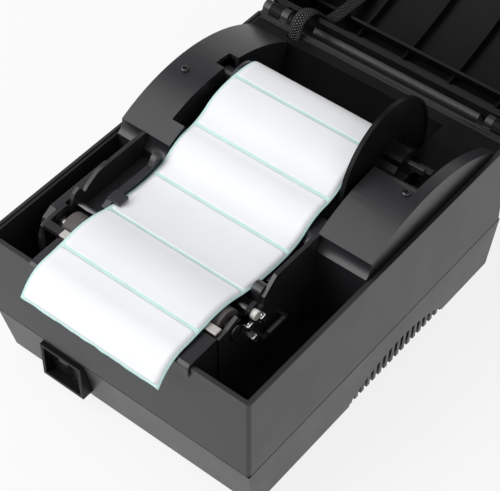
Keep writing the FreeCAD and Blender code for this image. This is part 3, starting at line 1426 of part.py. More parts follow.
def electronics():
    board = box("board_sheet", ("-board_width / 2", "board_width / 2"),
                ("board_back - board_length", "board_back"), ("board_bottom", "board_top"))
    chip = box("board_chip", ("-chip_size / 2", "chip_size / 2"),
               ("board_back - board_length / 2 - chip_size / 2",
                "board_back - board_length / 2 + chip_size / 2"),
               ("board_top - bond", "board_top + chip_height"))
    node("main_board", fuse("main_board", board, chip))
    usb_y = ("back_face - rear_taper - usb_length", PORT_FACE)
    shell = box("usb_shell", USB_X, usb_y, USB_Z)
    bore = box("usb_bore", ("usb_place - usb_bore_width / 2", "usb_place + usb_bore_width / 2"),
               (f"{PORT_FACE} - port_bore_depth", f"{PORT_FACE} + bond"),
               (f"({USB_Z[0]} + {USB_Z[1]}) / 2 - usb_bore_height / 2",
                f"({USB_Z[0]} + {USB_Z[1]}) / 2 + usb_bore_height / 2"))
    tongue_half = "usb_bore_width / 3"
    tongue = box("usb_tongue", (f"usb_place - {tongue_half}", f"usb_place + {tongue_half}"),
                 (f"{PORT_FACE} - port_bore_depth - bond", f"{PORT_FACE} - bond"),
                 (f"({USB_Z[0]} + {USB_Z[1]}) / 2 - jack_pin", f"({USB_Z[0]} + {USB_Z[1]}) / 2 + jack_pin"))
    node("usb_socket", fuse("usb_socket", cut("usb_body", shell, bore), tongue))
    jack_y = ("back_face - rear_taper - jack_length", PORT_FACE)
    jack_centre = ("jack_place", f"({JACK_Z[0]} + {JACK_Z[1]}) / 2")
    block = box("jack_block", JACK_X, jack_y, JACK_Z)
    hole = rod("jack_hole", "y", (f"{PORT_FACE} - port_bore_depth", f"{PORT_FACE} + bond"), jack_centre,
               "jack_bore")
    pin = rod("jack_centre_pin", "y", (f"{PORT_FACE} - port_bore_depth - bond", f"{PORT_FACE} - bond"),
              jack_centre, "jack_pin")
    node("dc_jack", fuse("dc_jack", cut("jack_body", block, hole), pin))


# Lid, drawn closed

def roof(name, span, inset):
    """Curved top of the lid, moved in by an inset."""
    return rod(name, "x", span, ("roof_y", "roof_z"), f"roof_radius - ({inset})")


def lid_shell():
    across = ("-side_face", "side_face")
    outer_block = prism("lid_outer", "z", [
        ("-side_face", "front_face"), ("side_face", "front_face"),
        ("side_face", "lid_back"), ("-side_face", "lid_back")], ("lid_bottom", "lid_top + bond"))
    round_upright_edges(outer_block, "corner_round")
    outer = common("lid_outside", outer_block, roof("lid_roof", across, "0"))
    inner_x = ("-side_face + lid_wall", "side_face - lid_wall")
    inner_y = ("front_face + lid_wall", "lid_back - lid_wall")
    inner = common("lid_inside",
                   box("lid_inner", inner_x, inner_y, ("lid_bottom - bond", "lid_top")),
                   roof("lid_ceiling", across, "lid_wall"))
    mouth = box("lid_mouth", ("-ramp_left - exit_margin", "ramp_right + exit_margin"),
                ("front_face - bond", "front_face + lid_wall + bond"),
                ("lid_bottom - bond", "rim_level + exit_height"))
    shell = cut("lid_walls", outer, inner, mouth)
    ceiling_back = "roof_z + sqrt(pow(roof_radius - lid_wall, 2) - pow(lid_back - lid_wall - roof_y, 2))"
    cove_x = ("-cove_half_width", "cove_half_width")
    cove = cut("lid_cove",
               box("cove_block", cove_x, ("lid_back - lid_wall - cove_radius", "lid_back - lid_wall / 2"),
                   (f"{ceiling_back} - cove_radius", f"{ceiling_back} + bond")),
               rod("cove_scoop", "x", cove_x, ("lid_back - lid_wall - cove_radius",
                                               f"{ceiling_back} - cove_radius"), "cove_radius"))
    ribs = [box(f"cross_rib_{name}", widened(inner_x, "bond"),
                (setback(f"{place} - rib_wall / 2"), setback(f"{place} + rib_wall / 2")),
                (rise("cross_rib_rise"), "lid_top"))
            for name, place in (("first", "cross_rib_first"), ("second", "cross_rib_second"))]
    long_ribs = [box(f"long_rib_{index}",
                     (f"long_rib_pitch * {index} - long_rib_start - rib_wall / 2",
                      f"long_rib_pitch * {index} - long_rib_start + rib_wall / 2"),
                     widened(inner_y, "bond"), ("lid_bottom", "lid_top"))
                 for index in range(int(value("long_rib_count")))]
    trimmed = cut("long_ribs_trimmed", group("long_ribs", *long_ribs),
                  roof("long_rib_line", widened(across, "bond"), "lid_wall + long_rib_depth"))
    posts = [rod(f"head_post_{side}", "z", ("bracket_z + bracket_wall", "lid_top"), spot, "head_post_radius")
             for side, spot in head_posts()]
    posts += [rod(f"panel_post_{number}", "z", ("panel_board_top", "lid_top"), spot, "panel_post_radius")
              for number, spot in enumerate(panel_posts())]
    held = common("lid_ribs_trimmed", fuse("lid_ribs", *ribs, trimmed, *posts),
                  roof("lid_rib_limit", across, "lid_wall / 2"))
    arm = (("lid_back - lid_wall", "hinge_y"), ("lid_bottom", "hinge_z + barrel_radius"))
    knuckle = knuckles("lid_knuckle", "hinge_spread - knuckle_width / 2",
                       "hinge_spread + knuckle_width / 2", arm, "barrel_radius")
    back_roll = rod("lid_back_roll", "x", cove_x, ("lid_back", "hinge_z + roll_cover_lift"),
                    "roll_cover_radius")
    cover = cut("lid_back_cover", back_roll,
                box("lid_back_room", widened(cove_x, "bond"),
                    ("lid_back - 2 * roll_cover_radius", "lid_back - bond"), ("lid_bottom", "lid_top")))
    solid = fuse("lid_solid", shell, cove, cover, held, *knuckle)
    bores = [rod("lid_pin_hole", "x", widened(across, "bond"), ("hinge_y", "hinge_z"),
                 "hinge_pin_radius + running_gap"),
             rod("button_hole", "z", ("panel_board_top", "lid_top + bond"), ("button_x", "button_y"),
                 "button_radius + fit_gap"),
             rod("button_room", "z", ("panel_board_top", "button_roof - button_drop + 2 * fit_gap"),
                 ("button_x", "button_y"), "button_flange + fit_gap")]
    bores += [rod(f"head_post_bore_{side}", "z", ("bracket_z", "bracket_z + lid_screw_length"), spot,
                  "lid_screw_radius + running_gap") for side, spot in head_posts()]
    bores += [rod(f"lens_hole_{number}", "z", ("panel_board_top", "lid_top + bond"), spot,
                  "lens_radius + running_gap") for number, spot in enumerate(lens_spots())]
    node("lid_shell", cut("lid_shell", solid, *bores), on_lid=True)


def head_posts():
    return (("left", ("head_spring_shift - post_spread - 2 * head_spring_shift", setback("post_setback"))),
            ("right", ("post_spread - head_spring_shift", setback("post_setback"))))


def panel_posts():
    reach = "(panel_board_width / 2 - panel_post_radius)"
    return ((f"button_x - lens_pitch - {reach}", "button_y"),
            (f"button_x - lens_pitch + {reach}", "button_y"))


def lens_spots():
    return (("button_x - lens_offset", "button_y"), ("button_x - lens_offset - lens_pitch", "button_y"))


def head():
    pivot = ("pivot_y", "pivot_z")
    sink_x = ("-head_left - sink_overhang", "head_right + sink_overhang")
    head_y = (setback("head_front"), setback("head_front + head_length"))
    node("print_head", box("print_head", ("-head_left", "head_right"), head_y,
                           ("head_bottom", "sink_bottom")), on_lid=True)
    sink = box("sink_block", sink_x, (setback("head_front"), setback("head_front + sink_length")),
               ("sink_bottom", "sink_top"))
    ears = [box(f"sink_ear_{name}", span, ("pivot_y - sink_ear_height", "pivot_y + sink_ear_height"),
                ("sink_top - bond", "pivot_z + sink_ear_height / 2 + pivot_radius / 2"))
            for name, span in (("left", (sink_x[0], f"{sink_x[0]} + sink_overhang")),
                               ("right", (f"{sink_x[1]} - sink_overhang", sink_x[1])))]
    grooves = [box(f"sink_groove_{index}", widened(sink_x, "-sink_overhang"),
                   (setback(f"head_front + sink_groove * {2 * index + 1}"),
                    setback(f"head_front + sink_groove * {2 * index + 2}")),
                   ("sink_top - sink_groove_depth", "sink_top + bond")) for index in range(2)]
    hole = rod("sink_pivot_hole", "x", widened(sink_x, "bond"), pivot, "pivot_radius + running_gap")
    node("head_heatsink", cut("head_heatsink", fuse("sink_solid", sink, *ears), hole, *grooves),
         on_lid=True)
    node("head_connector", box("head_connector", ("-plug_width / 2", "plug_width / 2"),
                               (setback("head_front + sink_length - plug_length"),
                                setback("head_front + sink_length")),
                               ("sink_bottom - plug_height", "sink_bottom")), on_lid=True)
    frame_x = (f"{sink_x[0]} - fit_gap - bracket_wall", f"{sink_x[1]} + fit_gap + bracket_wall")
    plate = box("bracket_plate", frame_x, (setback("head_front"), setback("head_front + bracket_length")),
                ("bracket_z", "bracket_z + bracket_wall"))
    sides_of_bracket = [box(f"bracket_ear_{name}", span,
                            ("pivot_y - bracket_ear_length / 2", "pivot_y + bracket_ear_length / 2"),
                            ("pivot_z - bracket_margin + bond", "bracket_z + bond"))
                        for name, span in (("left", (frame_x[0], f"{frame_x[0]} + bracket_wall")),
                                           ("right", (f"{frame_x[1]} - bracket_wall", frame_x[1])))]
    bores = [rod("bracket_pivot_hole", "x", widened(frame_x, "bond"), pivot, "pivot_radius + running_gap")]
    bores += [rod(f"bracket_screw_hole_{side}", "z", ("bracket_z - bond", "bracket_z + 2 * bracket_wall"),
                  spot, "lid_screw_radius + running_gap") for side, spot in head_posts()]
    node("head_bracket", cut("head_bracket", fuse("bracket_solid", plate, *sides_of_bracket), *bores),
         on_lid=True)
    node("head_pivot_pin", rod("head_pivot_pin", "x", frame_x, pivot, "pivot_radius"), on_lid=True)
    screws = []
    for side, spot in head_posts():
        cap = rod(f"lid_screw_cap_{side}", "z", ("bracket_z - bracket_wall", "bracket_z"), spot,
                  "lid_screw_head")
        shank = rod(f"lid_screw_shank_{side}", "z", ("bracket_z - bond", "bracket_z + lid_screw_length"),
                    spot, "lid_screw_radius")
        screws.append(fuse(f"lid_screw_{side}", cap, shank))
    node("lid_screws", group("lid_screws", *screws), on_lid=True)
    node("head_springs", coded("head_springs", head_spring_pair()), on_lid=True)


def head_spring_pair():
    """Two springs between the heat sink and the bracket, a little short of both."""
    clear = value("2 * fit_gap")
    low = value("sink_top") + clear
    length = value("bracket_z") - low - clear - 2 * value("head_spring_wire")
    pitch = length / value("head_spring_curls")
    springs = []
    for side in (-1, 1):
        spring = coil(value("head_spring_radius"), value("head_spring_wire"), pitch,
                      int(value("head_spring_curls")))
        spring.translate(Vector(side * value("head_spring_spread") - value("head_spring_shift"),
                                value(setback("head_spring_setback")),
                                low + value("head_spring_wire")))
        springs.append(spring)
    return Part.makeCompound(springs)


def buttons():
    centre = ("button_x", "button_y")
    top = "button_roof + button_proud"
    flange_top = "button_roof - button_drop"
    cap = rod("button_cap", "z", (f"{flange_top} - bond", top), centre, "button_radius")
    flange = rod("button_flange_disc", "z", (f"{flange_top} - button_flange_height", flange_top), centre,
                 "button_flange")
    stem = rod("button_stem_rod", "z",
               ("panel_board_top + dome_height + button_travel + button_slack", flange_top), centre,
               "button_stem")
    node("feed_button", fuse("feed_button", cap, flange, stem), on_lid=True)
    half_width, half_length = "panel_board_width / 2", "panel_board_length / 2"
    middle = "button_x - lens_pitch"
    board = box("panel_board", (f"{middle} - {half_width}", f"{middle} + {half_width}"),
                (f"button_y - {half_length} + bond", f"button_y + {half_length}"),
                ("panel_board_top - board_thickness", "panel_board_top"))
    dome = box("panel_dome", ("button_x - dome_size / 2", "button_x + dome_size / 2"),
               ("button_y - dome_size / 2", "button_y + dome_size / 2"),
               ("panel_board_top - bond", "panel_board_top + dome_height"))
    node("button_board", fuse("button_board", board, dome), on_lid=True)
    lenses = [rod(f"lens_{number}", "z", ("panel_board_top", "button_roof + lens_proud"), spot, "lens_radius")
              for number, spot in enumerate(lens_spots())]
    node("indicator_lens", group("indicator_lens", *lenses), on_lid=True)


def on_open_lid(along, up):
    """Place in the YZ plane of a point of the closed lid once the lid is open."""
    hinge = Vector(value("hinge_y"), value("hinge_z"), 0)
    swing = Rotation(Vector(0, 0, 1), -value("lid_open_angle"))
    return swing.multVec(Vector(value(along), value(up), 0) - hinge) + hinge


def ceiling(along):
    return f"roof_z + sqrt(pow(roof_radius - lid_wall, 2) - pow({along} - roof_y, 2))"


def cable():
    """Flat head cable from the rear ledge over the hinge to the head, held by a clip on the lid."""
    low = "-cable_x - cable_width / 2"
    clip_y = setback("clip_setback")
    lie = "cable_thickness / 2 + fit_gap"
    slot_y = f"{CABLE_SLOT} + cable_slot_length / 2"
    base = [Vector(value(along), value(up), 0) for along, up in (
        (slot_y, "rim_level - bay_skirt"),
        (slot_y, "rim_level + 8"),
        ("hinge_y + 5.5", "hinge_z + 8"))]
    rib_y = setback("cross_rib_second")
    lid_points = [
        on_open_lid("lid_back - lid_wall - 5", rise("cross_rib_rise - 9")),
        on_open_lid(rib_y, rise("cross_rib_rise - 2.4"))]
    for step in (24, 0, -24):
        along = f"(front_face + clip_setback + {step})"
        lid_points.append(on_open_lid(along, f"{ceiling(along)} - ({lie})"))
    lid_points += [on_open_lid("pivot_y + 32", "pivot_z + 18"),
                   on_open_lid("pivot_y + 15", "pivot_z + 3")]
    strip, place = ribbon(base + lid_points, value("cable_thickness"), value(low),
                          value(f"{low} + cable_width"))
    node("cable_sleeve", coded("cable_sleeve", strip, place))
    half = "clip_width / 2"
    clip_z = f"{ceiling(clip_y)}"
    clip_span = (f"{clip_y} - clip_length / 2", f"{clip_y} + clip_length / 2")
    block = common("clip_trim",
                   box("clip_block", (f"-cable_x - {half}", f"-cable_x + {half}"), clip_span,
                       (f"{clip_z} - cable_thickness - clip_wall - 3 * fit_gap", "lid_top")),
                   roof("clip_limit", ("-side_face", "side_face"), "lid_wall"))
    slot = box("clip_slot", ("-cable_x - cable_width / 2 - fit_gap", "-cable_x + cable_width / 2 + fit_gap"),
               widened(clip_span, "bond"), (f"{clip_z} - cable_thickness - 3 * fit_gap", "lid_top"))
    node("cable_clip", cut("cable_clip", block, slot), on_lid=True)


def build():
    lower_case()
    upper_case()
    case_fasteners()
    roll_bay()
    bay_screws()
    spindle()
    roll()
    sliding_flange()
    label_web()
    pocket_tray()
    left_frame()
    right_frame()
    frame_hardware()
    media_deck()
    guides()
    exit_ramp()
    drive()
    gear_cover()
    switch()
    electronics()
    lid_shell()
    head()
    buttons()
    cable()


def check_and_write():
    """Stops on any failed object or bad shape, then writes one file for each node."""
    doc.recompute()
    for item in doc.Objects:
        if "Invalid" in item.State or "Error" in item.State:
            raise RuntimeError(f"{item.Name} failed: {item.State}")
    for item in NODES:
        if item.Shape.isNull() or not item.Shape.isValid() or not item.Shape.Solids:
            raise RuntimeError(f"{item.Label} has a bad shape")
    os.makedirs("parts", exist_ok=True)
    for item in NODES:
        item.Shape.exportStep(f"parts/{item.Label}.step")
        print(item.Label, len(item.Shape.Solids), round(item.Shape.Volume / 1000, 2))
    print(len(NODES), "nodes")


build()
check_and_write()
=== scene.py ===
"""Looks of a thermal label printer with its lid open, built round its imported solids."""

import json
import math

import bmesh
import bpy
from bpy.props import FloatProperty, FloatVectorProperty, IntProperty, PointerProperty
from bpy.types import Operator, Panel, PropertyGroup
from mathutils import Matrix, Vector, noise


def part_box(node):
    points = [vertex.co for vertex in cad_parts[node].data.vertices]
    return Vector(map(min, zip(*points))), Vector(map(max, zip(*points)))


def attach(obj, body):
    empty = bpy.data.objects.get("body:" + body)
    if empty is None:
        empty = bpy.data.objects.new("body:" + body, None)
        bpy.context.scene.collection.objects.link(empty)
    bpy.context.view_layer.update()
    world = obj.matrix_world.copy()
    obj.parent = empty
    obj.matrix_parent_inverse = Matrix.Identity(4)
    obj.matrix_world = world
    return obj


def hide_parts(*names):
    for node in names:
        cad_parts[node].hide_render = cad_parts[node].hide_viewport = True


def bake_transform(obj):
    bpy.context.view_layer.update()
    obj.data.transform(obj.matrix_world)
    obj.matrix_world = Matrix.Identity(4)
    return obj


bl_info = {
    "name": "Label printer looks",
    "version": (1, 0, 0),
    "blender": (4, 5, 0),
    "location": "3D View > Sidebar > Label printer",
    "description": "Eased mouldings, die-cut label web, braided sleeve and finishes of a label printer",
    "category": "Object",
}

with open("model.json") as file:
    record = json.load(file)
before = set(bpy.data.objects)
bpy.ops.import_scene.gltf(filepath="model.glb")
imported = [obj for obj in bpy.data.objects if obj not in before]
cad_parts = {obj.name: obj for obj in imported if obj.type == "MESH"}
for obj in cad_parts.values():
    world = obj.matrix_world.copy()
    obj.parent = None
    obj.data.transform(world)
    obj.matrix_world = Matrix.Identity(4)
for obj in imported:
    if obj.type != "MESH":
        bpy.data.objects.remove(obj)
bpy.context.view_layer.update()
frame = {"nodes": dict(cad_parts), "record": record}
SOLIDS = frame["nodes"]
OWNER = {node: body for body, members in frame["record"]["behaviour"]["bodies"].items() for node in members}

# Route of the web and of the sleeve, side view, as (y, z) in metres
WEB_ROUTE = [(0.0569, 0.0902), (0.0569, 0.09534), (0.0495, 0.10265), (0.0235, 0.10225), (0.0096, 0.09325),
             (-0.0044, 0.09295), (-0.0174, 0.08335), (-0.0470, 0.08435), (-0.0670, 0.09095),
             (-0.0866, 0.08785), (-0.0975, 0.08775), (-0.1060, 0.08205), (-0.1096, 0.07645)]
SLEEVE_ROUTE = [(0.0917, 0.0738), (0.0917, 0.0923), (0.1065, 0.0930), (0.12041, 0.07356), (0.13338, 0.07277),
                (0.16444, 0.07063), (0.18685, 0.07951), (0.20838, 0.09012), (0.22319, 0.11281),
                (0.23153, 0.13389)]

# Power that squares off the sleeve's oval section, and repeats of its weave across and along it
SLEEVE_ROUNDING = 0.7
BRAID_COUNT = (10, 120, 1)

# Points of a solid nearer than this are one point, and faces within this angle are one flat face
SAME_POINT = 2e-7
FLAT_ANGLE = math.radians(0.4)

# Points nearer than this are joined where a form closes on itself, and where the liner's turn does
SEAM, LINER_SEAM = 1e-7, 1e-6

# Angles in degrees above which an edge is sharp, on mouldings, coils, wound paper and screws
SHARP, COIL_SHARP, PAPER_SHARP, SCREW_SHARP = 33.0, 60, 40, 38

# Range in which noise mostly lies
NOISE_LOW, NOISE_HIGH = 0.3, 0.7

# Share by which the roughness of a finish varies
SHEEN_VARY = 0.08

# Axis of the roll, side view, as (y, z) in metres
ROLL_AXIS = (0.0445, 0.0902)

# Slopes, as the share of a normal along an axis, of a face that lies square to it and of one that leans to it
SQUARE, STEEP, LEANING = 0.9, 0.6, 0.3

# Line and reach of the raised cover on the lid's back, and how near to its box an outer wall's faces lie
COVER_LINE, COVER_REACH, WALL_NEAR = 0.0967, 0.0500, 0.0008

# Level of the rear ledge and the shelf of the roll bay, whose faces get painted shade
LEDGE_LEVEL, LEDGE_NEAR = 0.0833, 0.0003

# Head of a domed screw as (share of its radius, share of its height), and its cross recess as shares of those
SCREW_HEAD = ((1, 0), (1, 0.35), (0.93, 0.72), (0.8, 0.93), (0.64, 1))
CROSS_ARM, CROSS_SLOT, CROSS_TAPER, CROSS_FLOOR = 0.52, 0.15, 0.8, 0.4

# Depth of the wound paper and of the turn that shows, under the roll's outer radius, and faces round the roll
WOUND_DROP, TURN_DROP, ROLL_STEPS = 0.0008, 0.0006, 96

# Unevenness of the web's paper and of its torn end
WOBBLE_HEIGHT = 0.00012
TORN_REACH, TORN_MEAN, TORN_RAGGED = 0.0012, 0.0004, 0.0005

# Lamps as (name, place, width, name of the power in the stage's settings), and the place they point at
LAMPS = (("overhead_lamp", (-0.56, -0.33, 1.19), 1.4, "overhead_power"),
         ("front_lamp", (-0.58, -1.0, 0.75), 0.8, "front_power"),
         ("key_lamp", (1.1, -0.35, 1.1), 1.2, "key_power"))
LAMP_AIM = Vector((0, 0, 0.06))

# Reach of the floor to each side, and the share of plain white in it where the camera sees it
FLOOR_REACH, FLOOR_GLOW = 6, 0.84


class PrinterColours(PropertyGroup):
    """Colours of the printer's mouldings, metals and papers."""

    case: FloatVectorProperty(name="Case", description="Plastic of the outer case and lid", subtype="COLOR",
                              default=(0.022, 0.022, 0.024), min=0, max=1)
    bay: FloatVectorProperty(name="Roll bay", description="Plastic of the roll bay", subtype="COLOR",
                             default=(0.021, 0.021, 0.024), min=0, max=1)
    inner: FloatVectorProperty(name="Inside", description="Plastic of the inner mouldings", subtype="COLOR",
                               default=(0.009, 0.009, 0.010), min=0, max=1)
    coat: FloatVectorProperty(name="Frame coat", description="Black coat on the pressed frames",
                              subtype="COLOR", default=(0.018, 0.018, 0.020), min=0, max=1)
    label: FloatVectorProperty(name="Label", description="Coated face of the labels", subtype="COLOR",
                               default=(0.89, 0.90, 0.92), min=0, max=1)
    liner: FloatVectorProperty(name="Liner", description="Release liner that carries the labels",
                               subtype="COLOR", default=(0.60, 0.85, 0.82), min=0, max=1)
    nylon: FloatVectorProperty(name="Nylon", description="Bushes and gears", subtype="COLOR",
                               default=(0.74, 0.73, 0.68), min=0, max=1)


class PrinterSizes(PropertyGroup):
    """Sizes of eased edges and of the label web."""

    case_edge: FloatProperty(name="Case edge", description="Rounding of the case's outer edges",
                             default=0.0006, min=0, unit="LENGTH")
    trim_edge: FloatProperty(name="Trim edge", description="Rounding of small mouldings", default=0.0003,
                             min=0, unit="LENGTH")
    metal_edge: FloatProperty(name="Metal edge", description="Rounding of pressed and turned metal",
                              default=0.00015, min=0, unit="LENGTH")
    label_pitch: FloatProperty(name="Label pitch", description="Distance from label to label along the web",
                               default=0.0309, min=0.01, unit="LENGTH")
    label_gap: FloatProperty(name="Label gap", description="Bare liner between two labels", default=0.0016,
                             min=0.0005, unit="LENGTH")
    label_margin: FloatProperty(name="Label margin", description="Bare liner beside the labels",
                                default=0.0011, min=0.0002, unit="LENGTH")
    label_corner: FloatProperty(name="Label corner", description="Corner radius of a die-cut label",
                                default=0.0016, min=0.0002, unit="LENGTH")
    first_gap: FloatProperty(name="First gap", description="Distance along the web to the first gap",
                             default=0.0272, min=0, unit="LENGTH")
    liner_thickness: FloatProperty(name="Liner thickness", description="Thickness of the liner",
                                   default=0.00012, min=0.00002, unit="LENGTH")
    label_thickness: FloatProperty(name="Label thickness", description="Thickness of a label",
                                   default=0.00012, min=0.00002, unit="LENGTH")
    sleeve_width: FloatProperty(name="Sleeve width", description="Width of the braided sleeve",
                                default=0.0072, min=0.001, unit="LENGTH")
    sleeve_thickness: FloatProperty(name="Sleeve thickness", description="Thickness of the braided sleeve",
                                    default=0.0021, min=0.0005, unit="LENGTH")
    frame_screw_height: FloatProperty(name="Frame screw head", description="Height of the frame screw heads",
                                      default=0.0023, min=0.0003, unit="LENGTH")
    bay_screw_height: FloatProperty(name="Bay screw head", description="Height of the bay screw heads",
                                    default=0.0010, min=0.0003, unit="LENGTH")
    edge_steps: IntProperty(name="Edge steps", description="Faces across a rounded edge", default=2, min=1,
                            max=6)


class PrinterStage(PropertyGroup):
    """Camera and light."""

    camera_place: FloatVectorProperty(name="Camera place", description="Where the camera stands",
                                      subtype="TRANSLATION", default=(0.326145, -0.406923, 0.632657))
    camera_turn: FloatVectorProperty(name="Camera turn", description="How the camera is turned",
                                     subtype="EULER",
                                     default=(math.radians(41.558), 0.0, math.radians(38.96)))
    lens: FloatProperty(name="Lens", description="Focal length", default=120.49, min=10, unit="CAMERA")
    world_level: FloatProperty(name="World level", description="Light from all round", default=0.25, min=0)
    overhead_power: FloatProperty(name="Overhead lamp", description="Power of the large soft lamp above",
                                  default=10.5, min=0, unit="POWER")
    front_power: FloatProperty(name="Front lamp", description="Power of the soft lamp in front", default=6.2,
                               min=0, unit="POWER")
    key_power: FloatProperty(name="Key lamp", description="Power of the soft lamp on the right", default=3.0,
                             min=0, unit="POWER")


def colours():
    return bpy.context.scene.printer_colours


def sizes():
    return bpy.context.scene.printer_sizes


# Materials

def tree_of(name):
    """New material with its tree and its surface shader."""
    material = bpy.data.materials.new(name)
    material.use_nodes = True
    return material, material.node_tree, material.node_tree.nodes["Principled BSDF"]


def add(tree, kind, **sockets):
    """Adds a node and sets its inputs by name."""
    item = tree.nodes.new(kind)
    for name, setting in sockets.items():
        item.inputs[name].default_value = setting
    return item


def grain(tree, scale, detail=2.0, stretch=(1, 1, 1)):
    """Noise read from the piece's own coordinates, stretched along an axis if asked."""
    place = add(tree, "ShaderNodeTexCoord")
    mapping = add(tree, "ShaderNodeMapping", Scale=stretch)
    speckle = add(tree, "ShaderNodeTexNoise", Scale=scale, Detail=detail)
    tree.links.new(place.outputs["Object"], mapping.inputs["Vector"])
    tree.links.new(mapping.outputs["Vector"], speckle.inputs["Vector"])
    return speckle.outputs["Fac"]


def ramp(tree, driver, dark, light, low=NOISE_LOW, high=NOISE_HIGH):
    """Colour ramp between two colours."""
    item = add(tree, "ShaderNodeValToRGB")
    item.color_ramp.elements[0].position = low
    item.color_ramp.elements[0].color = (*dark, 1)
    item.color_ramp.elements[1].position = high
    item.color_ramp.elements[1].color = (*light, 1)
    tree.links.new(driver, item.inputs["Fac"])
    return item.outputs["Color"]


def spread(tree, driver, low, high):
    """Maps noise onto a range of values."""
    item = add(tree, "ShaderNodeMapRange",
               **{"From Min": NOISE_LOW, "From Max": NOISE_HIGH, "To Min": low, "To Max": high})
    tree.links.new(driver, item.inputs["Value"])
    return item.outputs["Result"]


def bump(tree, shader, height, strength, distance):
    """Raises a surface by a height, without changing its form."""
    item = add(tree, "ShaderNodeBump", Strength=strength, Distance=distance)
    tree.links.new(height, item.inputs["Height"])
    tree.links.new(item.outputs["Normal"], shader.inputs["Normal"])


def surface(name, colour, rough, vary, cloud, fine, depth, strength, stretch=(1, 1, 1), **sockets):
    """Finish with clouded colour, uneven sheen and a fine surface grain, its scales given per metre."""
    material, tree, shader = tree_of(name)
    clouds = grain(tree, cloud, 3)
    dark = [part * (1 - vary) for part in colour]
    light = [min(1, part * (1 + vary)) for part in colour]
    tree.links.new(ramp(tree, clouds, dark, light), shader.inputs["Base Color"])
    sheen = spread(tree, clouds, rough * (1 - SHEEN_VARY), min(1, rough * (1 + SHEEN_VARY)))
    tree.links.new(sheen, shader.inputs["Roughness"])
    bump(tree, shader, grain(tree, fine, 2, stretch), strength, depth)
    for socket, setting in sockets.items():
        shader.inputs[socket.replace("_", " ")].default_value = setting
    return material


def metal(name, colour, rough, stretch=(1, 1, 1), depth=0.00001, strength=0.25):
    """Metal with drawn or ground lines along its length."""
    return surface(name, colour, rough, vary=0.08, cloud=90, fine=1500, depth=depth, strength=strength,
                   stretch=stretch, Metallic=1.0)


def board_finish(name):
    """Green board with paler tracks."""
    material, tree, shader = tree_of(name)
    place = add(tree, "ShaderNodeTexCoord")
    tracks = add(tree, "ShaderNodeTexBrick", Scale=90.0)
    tracks.inputs["Color1"].default_value = (0.012, 0.085, 0.03, 1)
    tracks.inputs["Color2"].default_value = (0.010, 0.07, 0.026, 1)
    tracks.inputs["Mortar"].default_value = (0.03, 0.17, 0.07, 1)
    tracks.inputs["Mortar Size"].default_value = 0.06
    tree.links.new(place.outputs["Object"], tracks.inputs["Vector"])
    tree.links.new(tracks.outputs["Color"], shader.inputs["Base Color"])
    bump(tree, shader, tracks.outputs["Fac"], 0.2, 0.00003)
    shader.inputs["Roughness"].default_value = 0.35
    return material


def braid_finish(name):
    """Black braid whose strands cross on a slant, with painted glints as pale dots where they cross, laid out
    on the sleeve's own map.
    """
    material, tree, shader = tree_of(name)
    place = add(tree, "ShaderNodeTexCoord")
    strands = []
    for slant in (45, -45):
        turn = add(tree, "ShaderNodeMapping", Rotation=(0, 0, math.radians(slant)), Scale=BRAID_COUNT)
        wave = add(tree, "ShaderNodeTexWave", Scale=0.5, Distortion=0.3)
        tree.links.new(place.outputs["UV"], turn.inputs["Vector"])
        tree.links.new(turn.outputs["Vector"], wave.inputs["Vector"])
        strands.append(wave.outputs["Fac"])
    both = add(tree, "ShaderNodeMath")
    both.operation = "MULTIPLY"
    tree.links.new(strands[0], both.inputs[0])
    tree.links.new(strands[1], both.inputs[1])
    weave_and_glints = both.outputs["Value"]
    # The pale end of this ramp is painted highlight: glints of the shiny strands where they cross
    tree.links.new(ramp(tree, weave_and_glints, (0.004, 0.004, 0.004), (0.30, 0.30, 0.31), 0.55, 0.95),
                   shader.inputs["Base Color"])
    tree.links.new(spread(tree, weave_and_glints, 0.75, 0.4), shader.inputs["Roughness"])
    bump(tree, shader, weave_and_glints, 0.8, 0.0003)
    shader.inputs["Specular IOR Level"].default_value = 0.2
    return material


def wound_finish(name):
    """Edge of wound paper, with a fine ring for every turn."""
    material, tree, shader = tree_of(name)
    place = add(tree, "ShaderNodeTexCoord")
    mapping = add(tree, "ShaderNodeMapping", Location=(0, *(-part for part in ROLL_AXIS)))
    rings = add(tree, "ShaderNodeTexWave", Scale=900.0, Distortion=0.6, Detail=1.0)
    rings.wave_type = "RINGS"
    rings.rings_direction = "X"
    tree.links.new(place.outputs["Object"], mapping.inputs["Vector"])
    tree.links.new(mapping.outputs["Vector"], rings.inputs["Vector"])
    tree.links.new(ramp(tree, rings.outputs["Fac"], (0.55, 0.66, 0.64), (0.84, 0.86, 0.87), 0.2, 0.8),
                   shader.inputs["Base Color"])
    bump(tree, shader, rings.outputs["Fac"], 0.3, 0.00005)
    shader.inputs["Roughness"].default_value = 0.7
    return material


FINISHES = {}


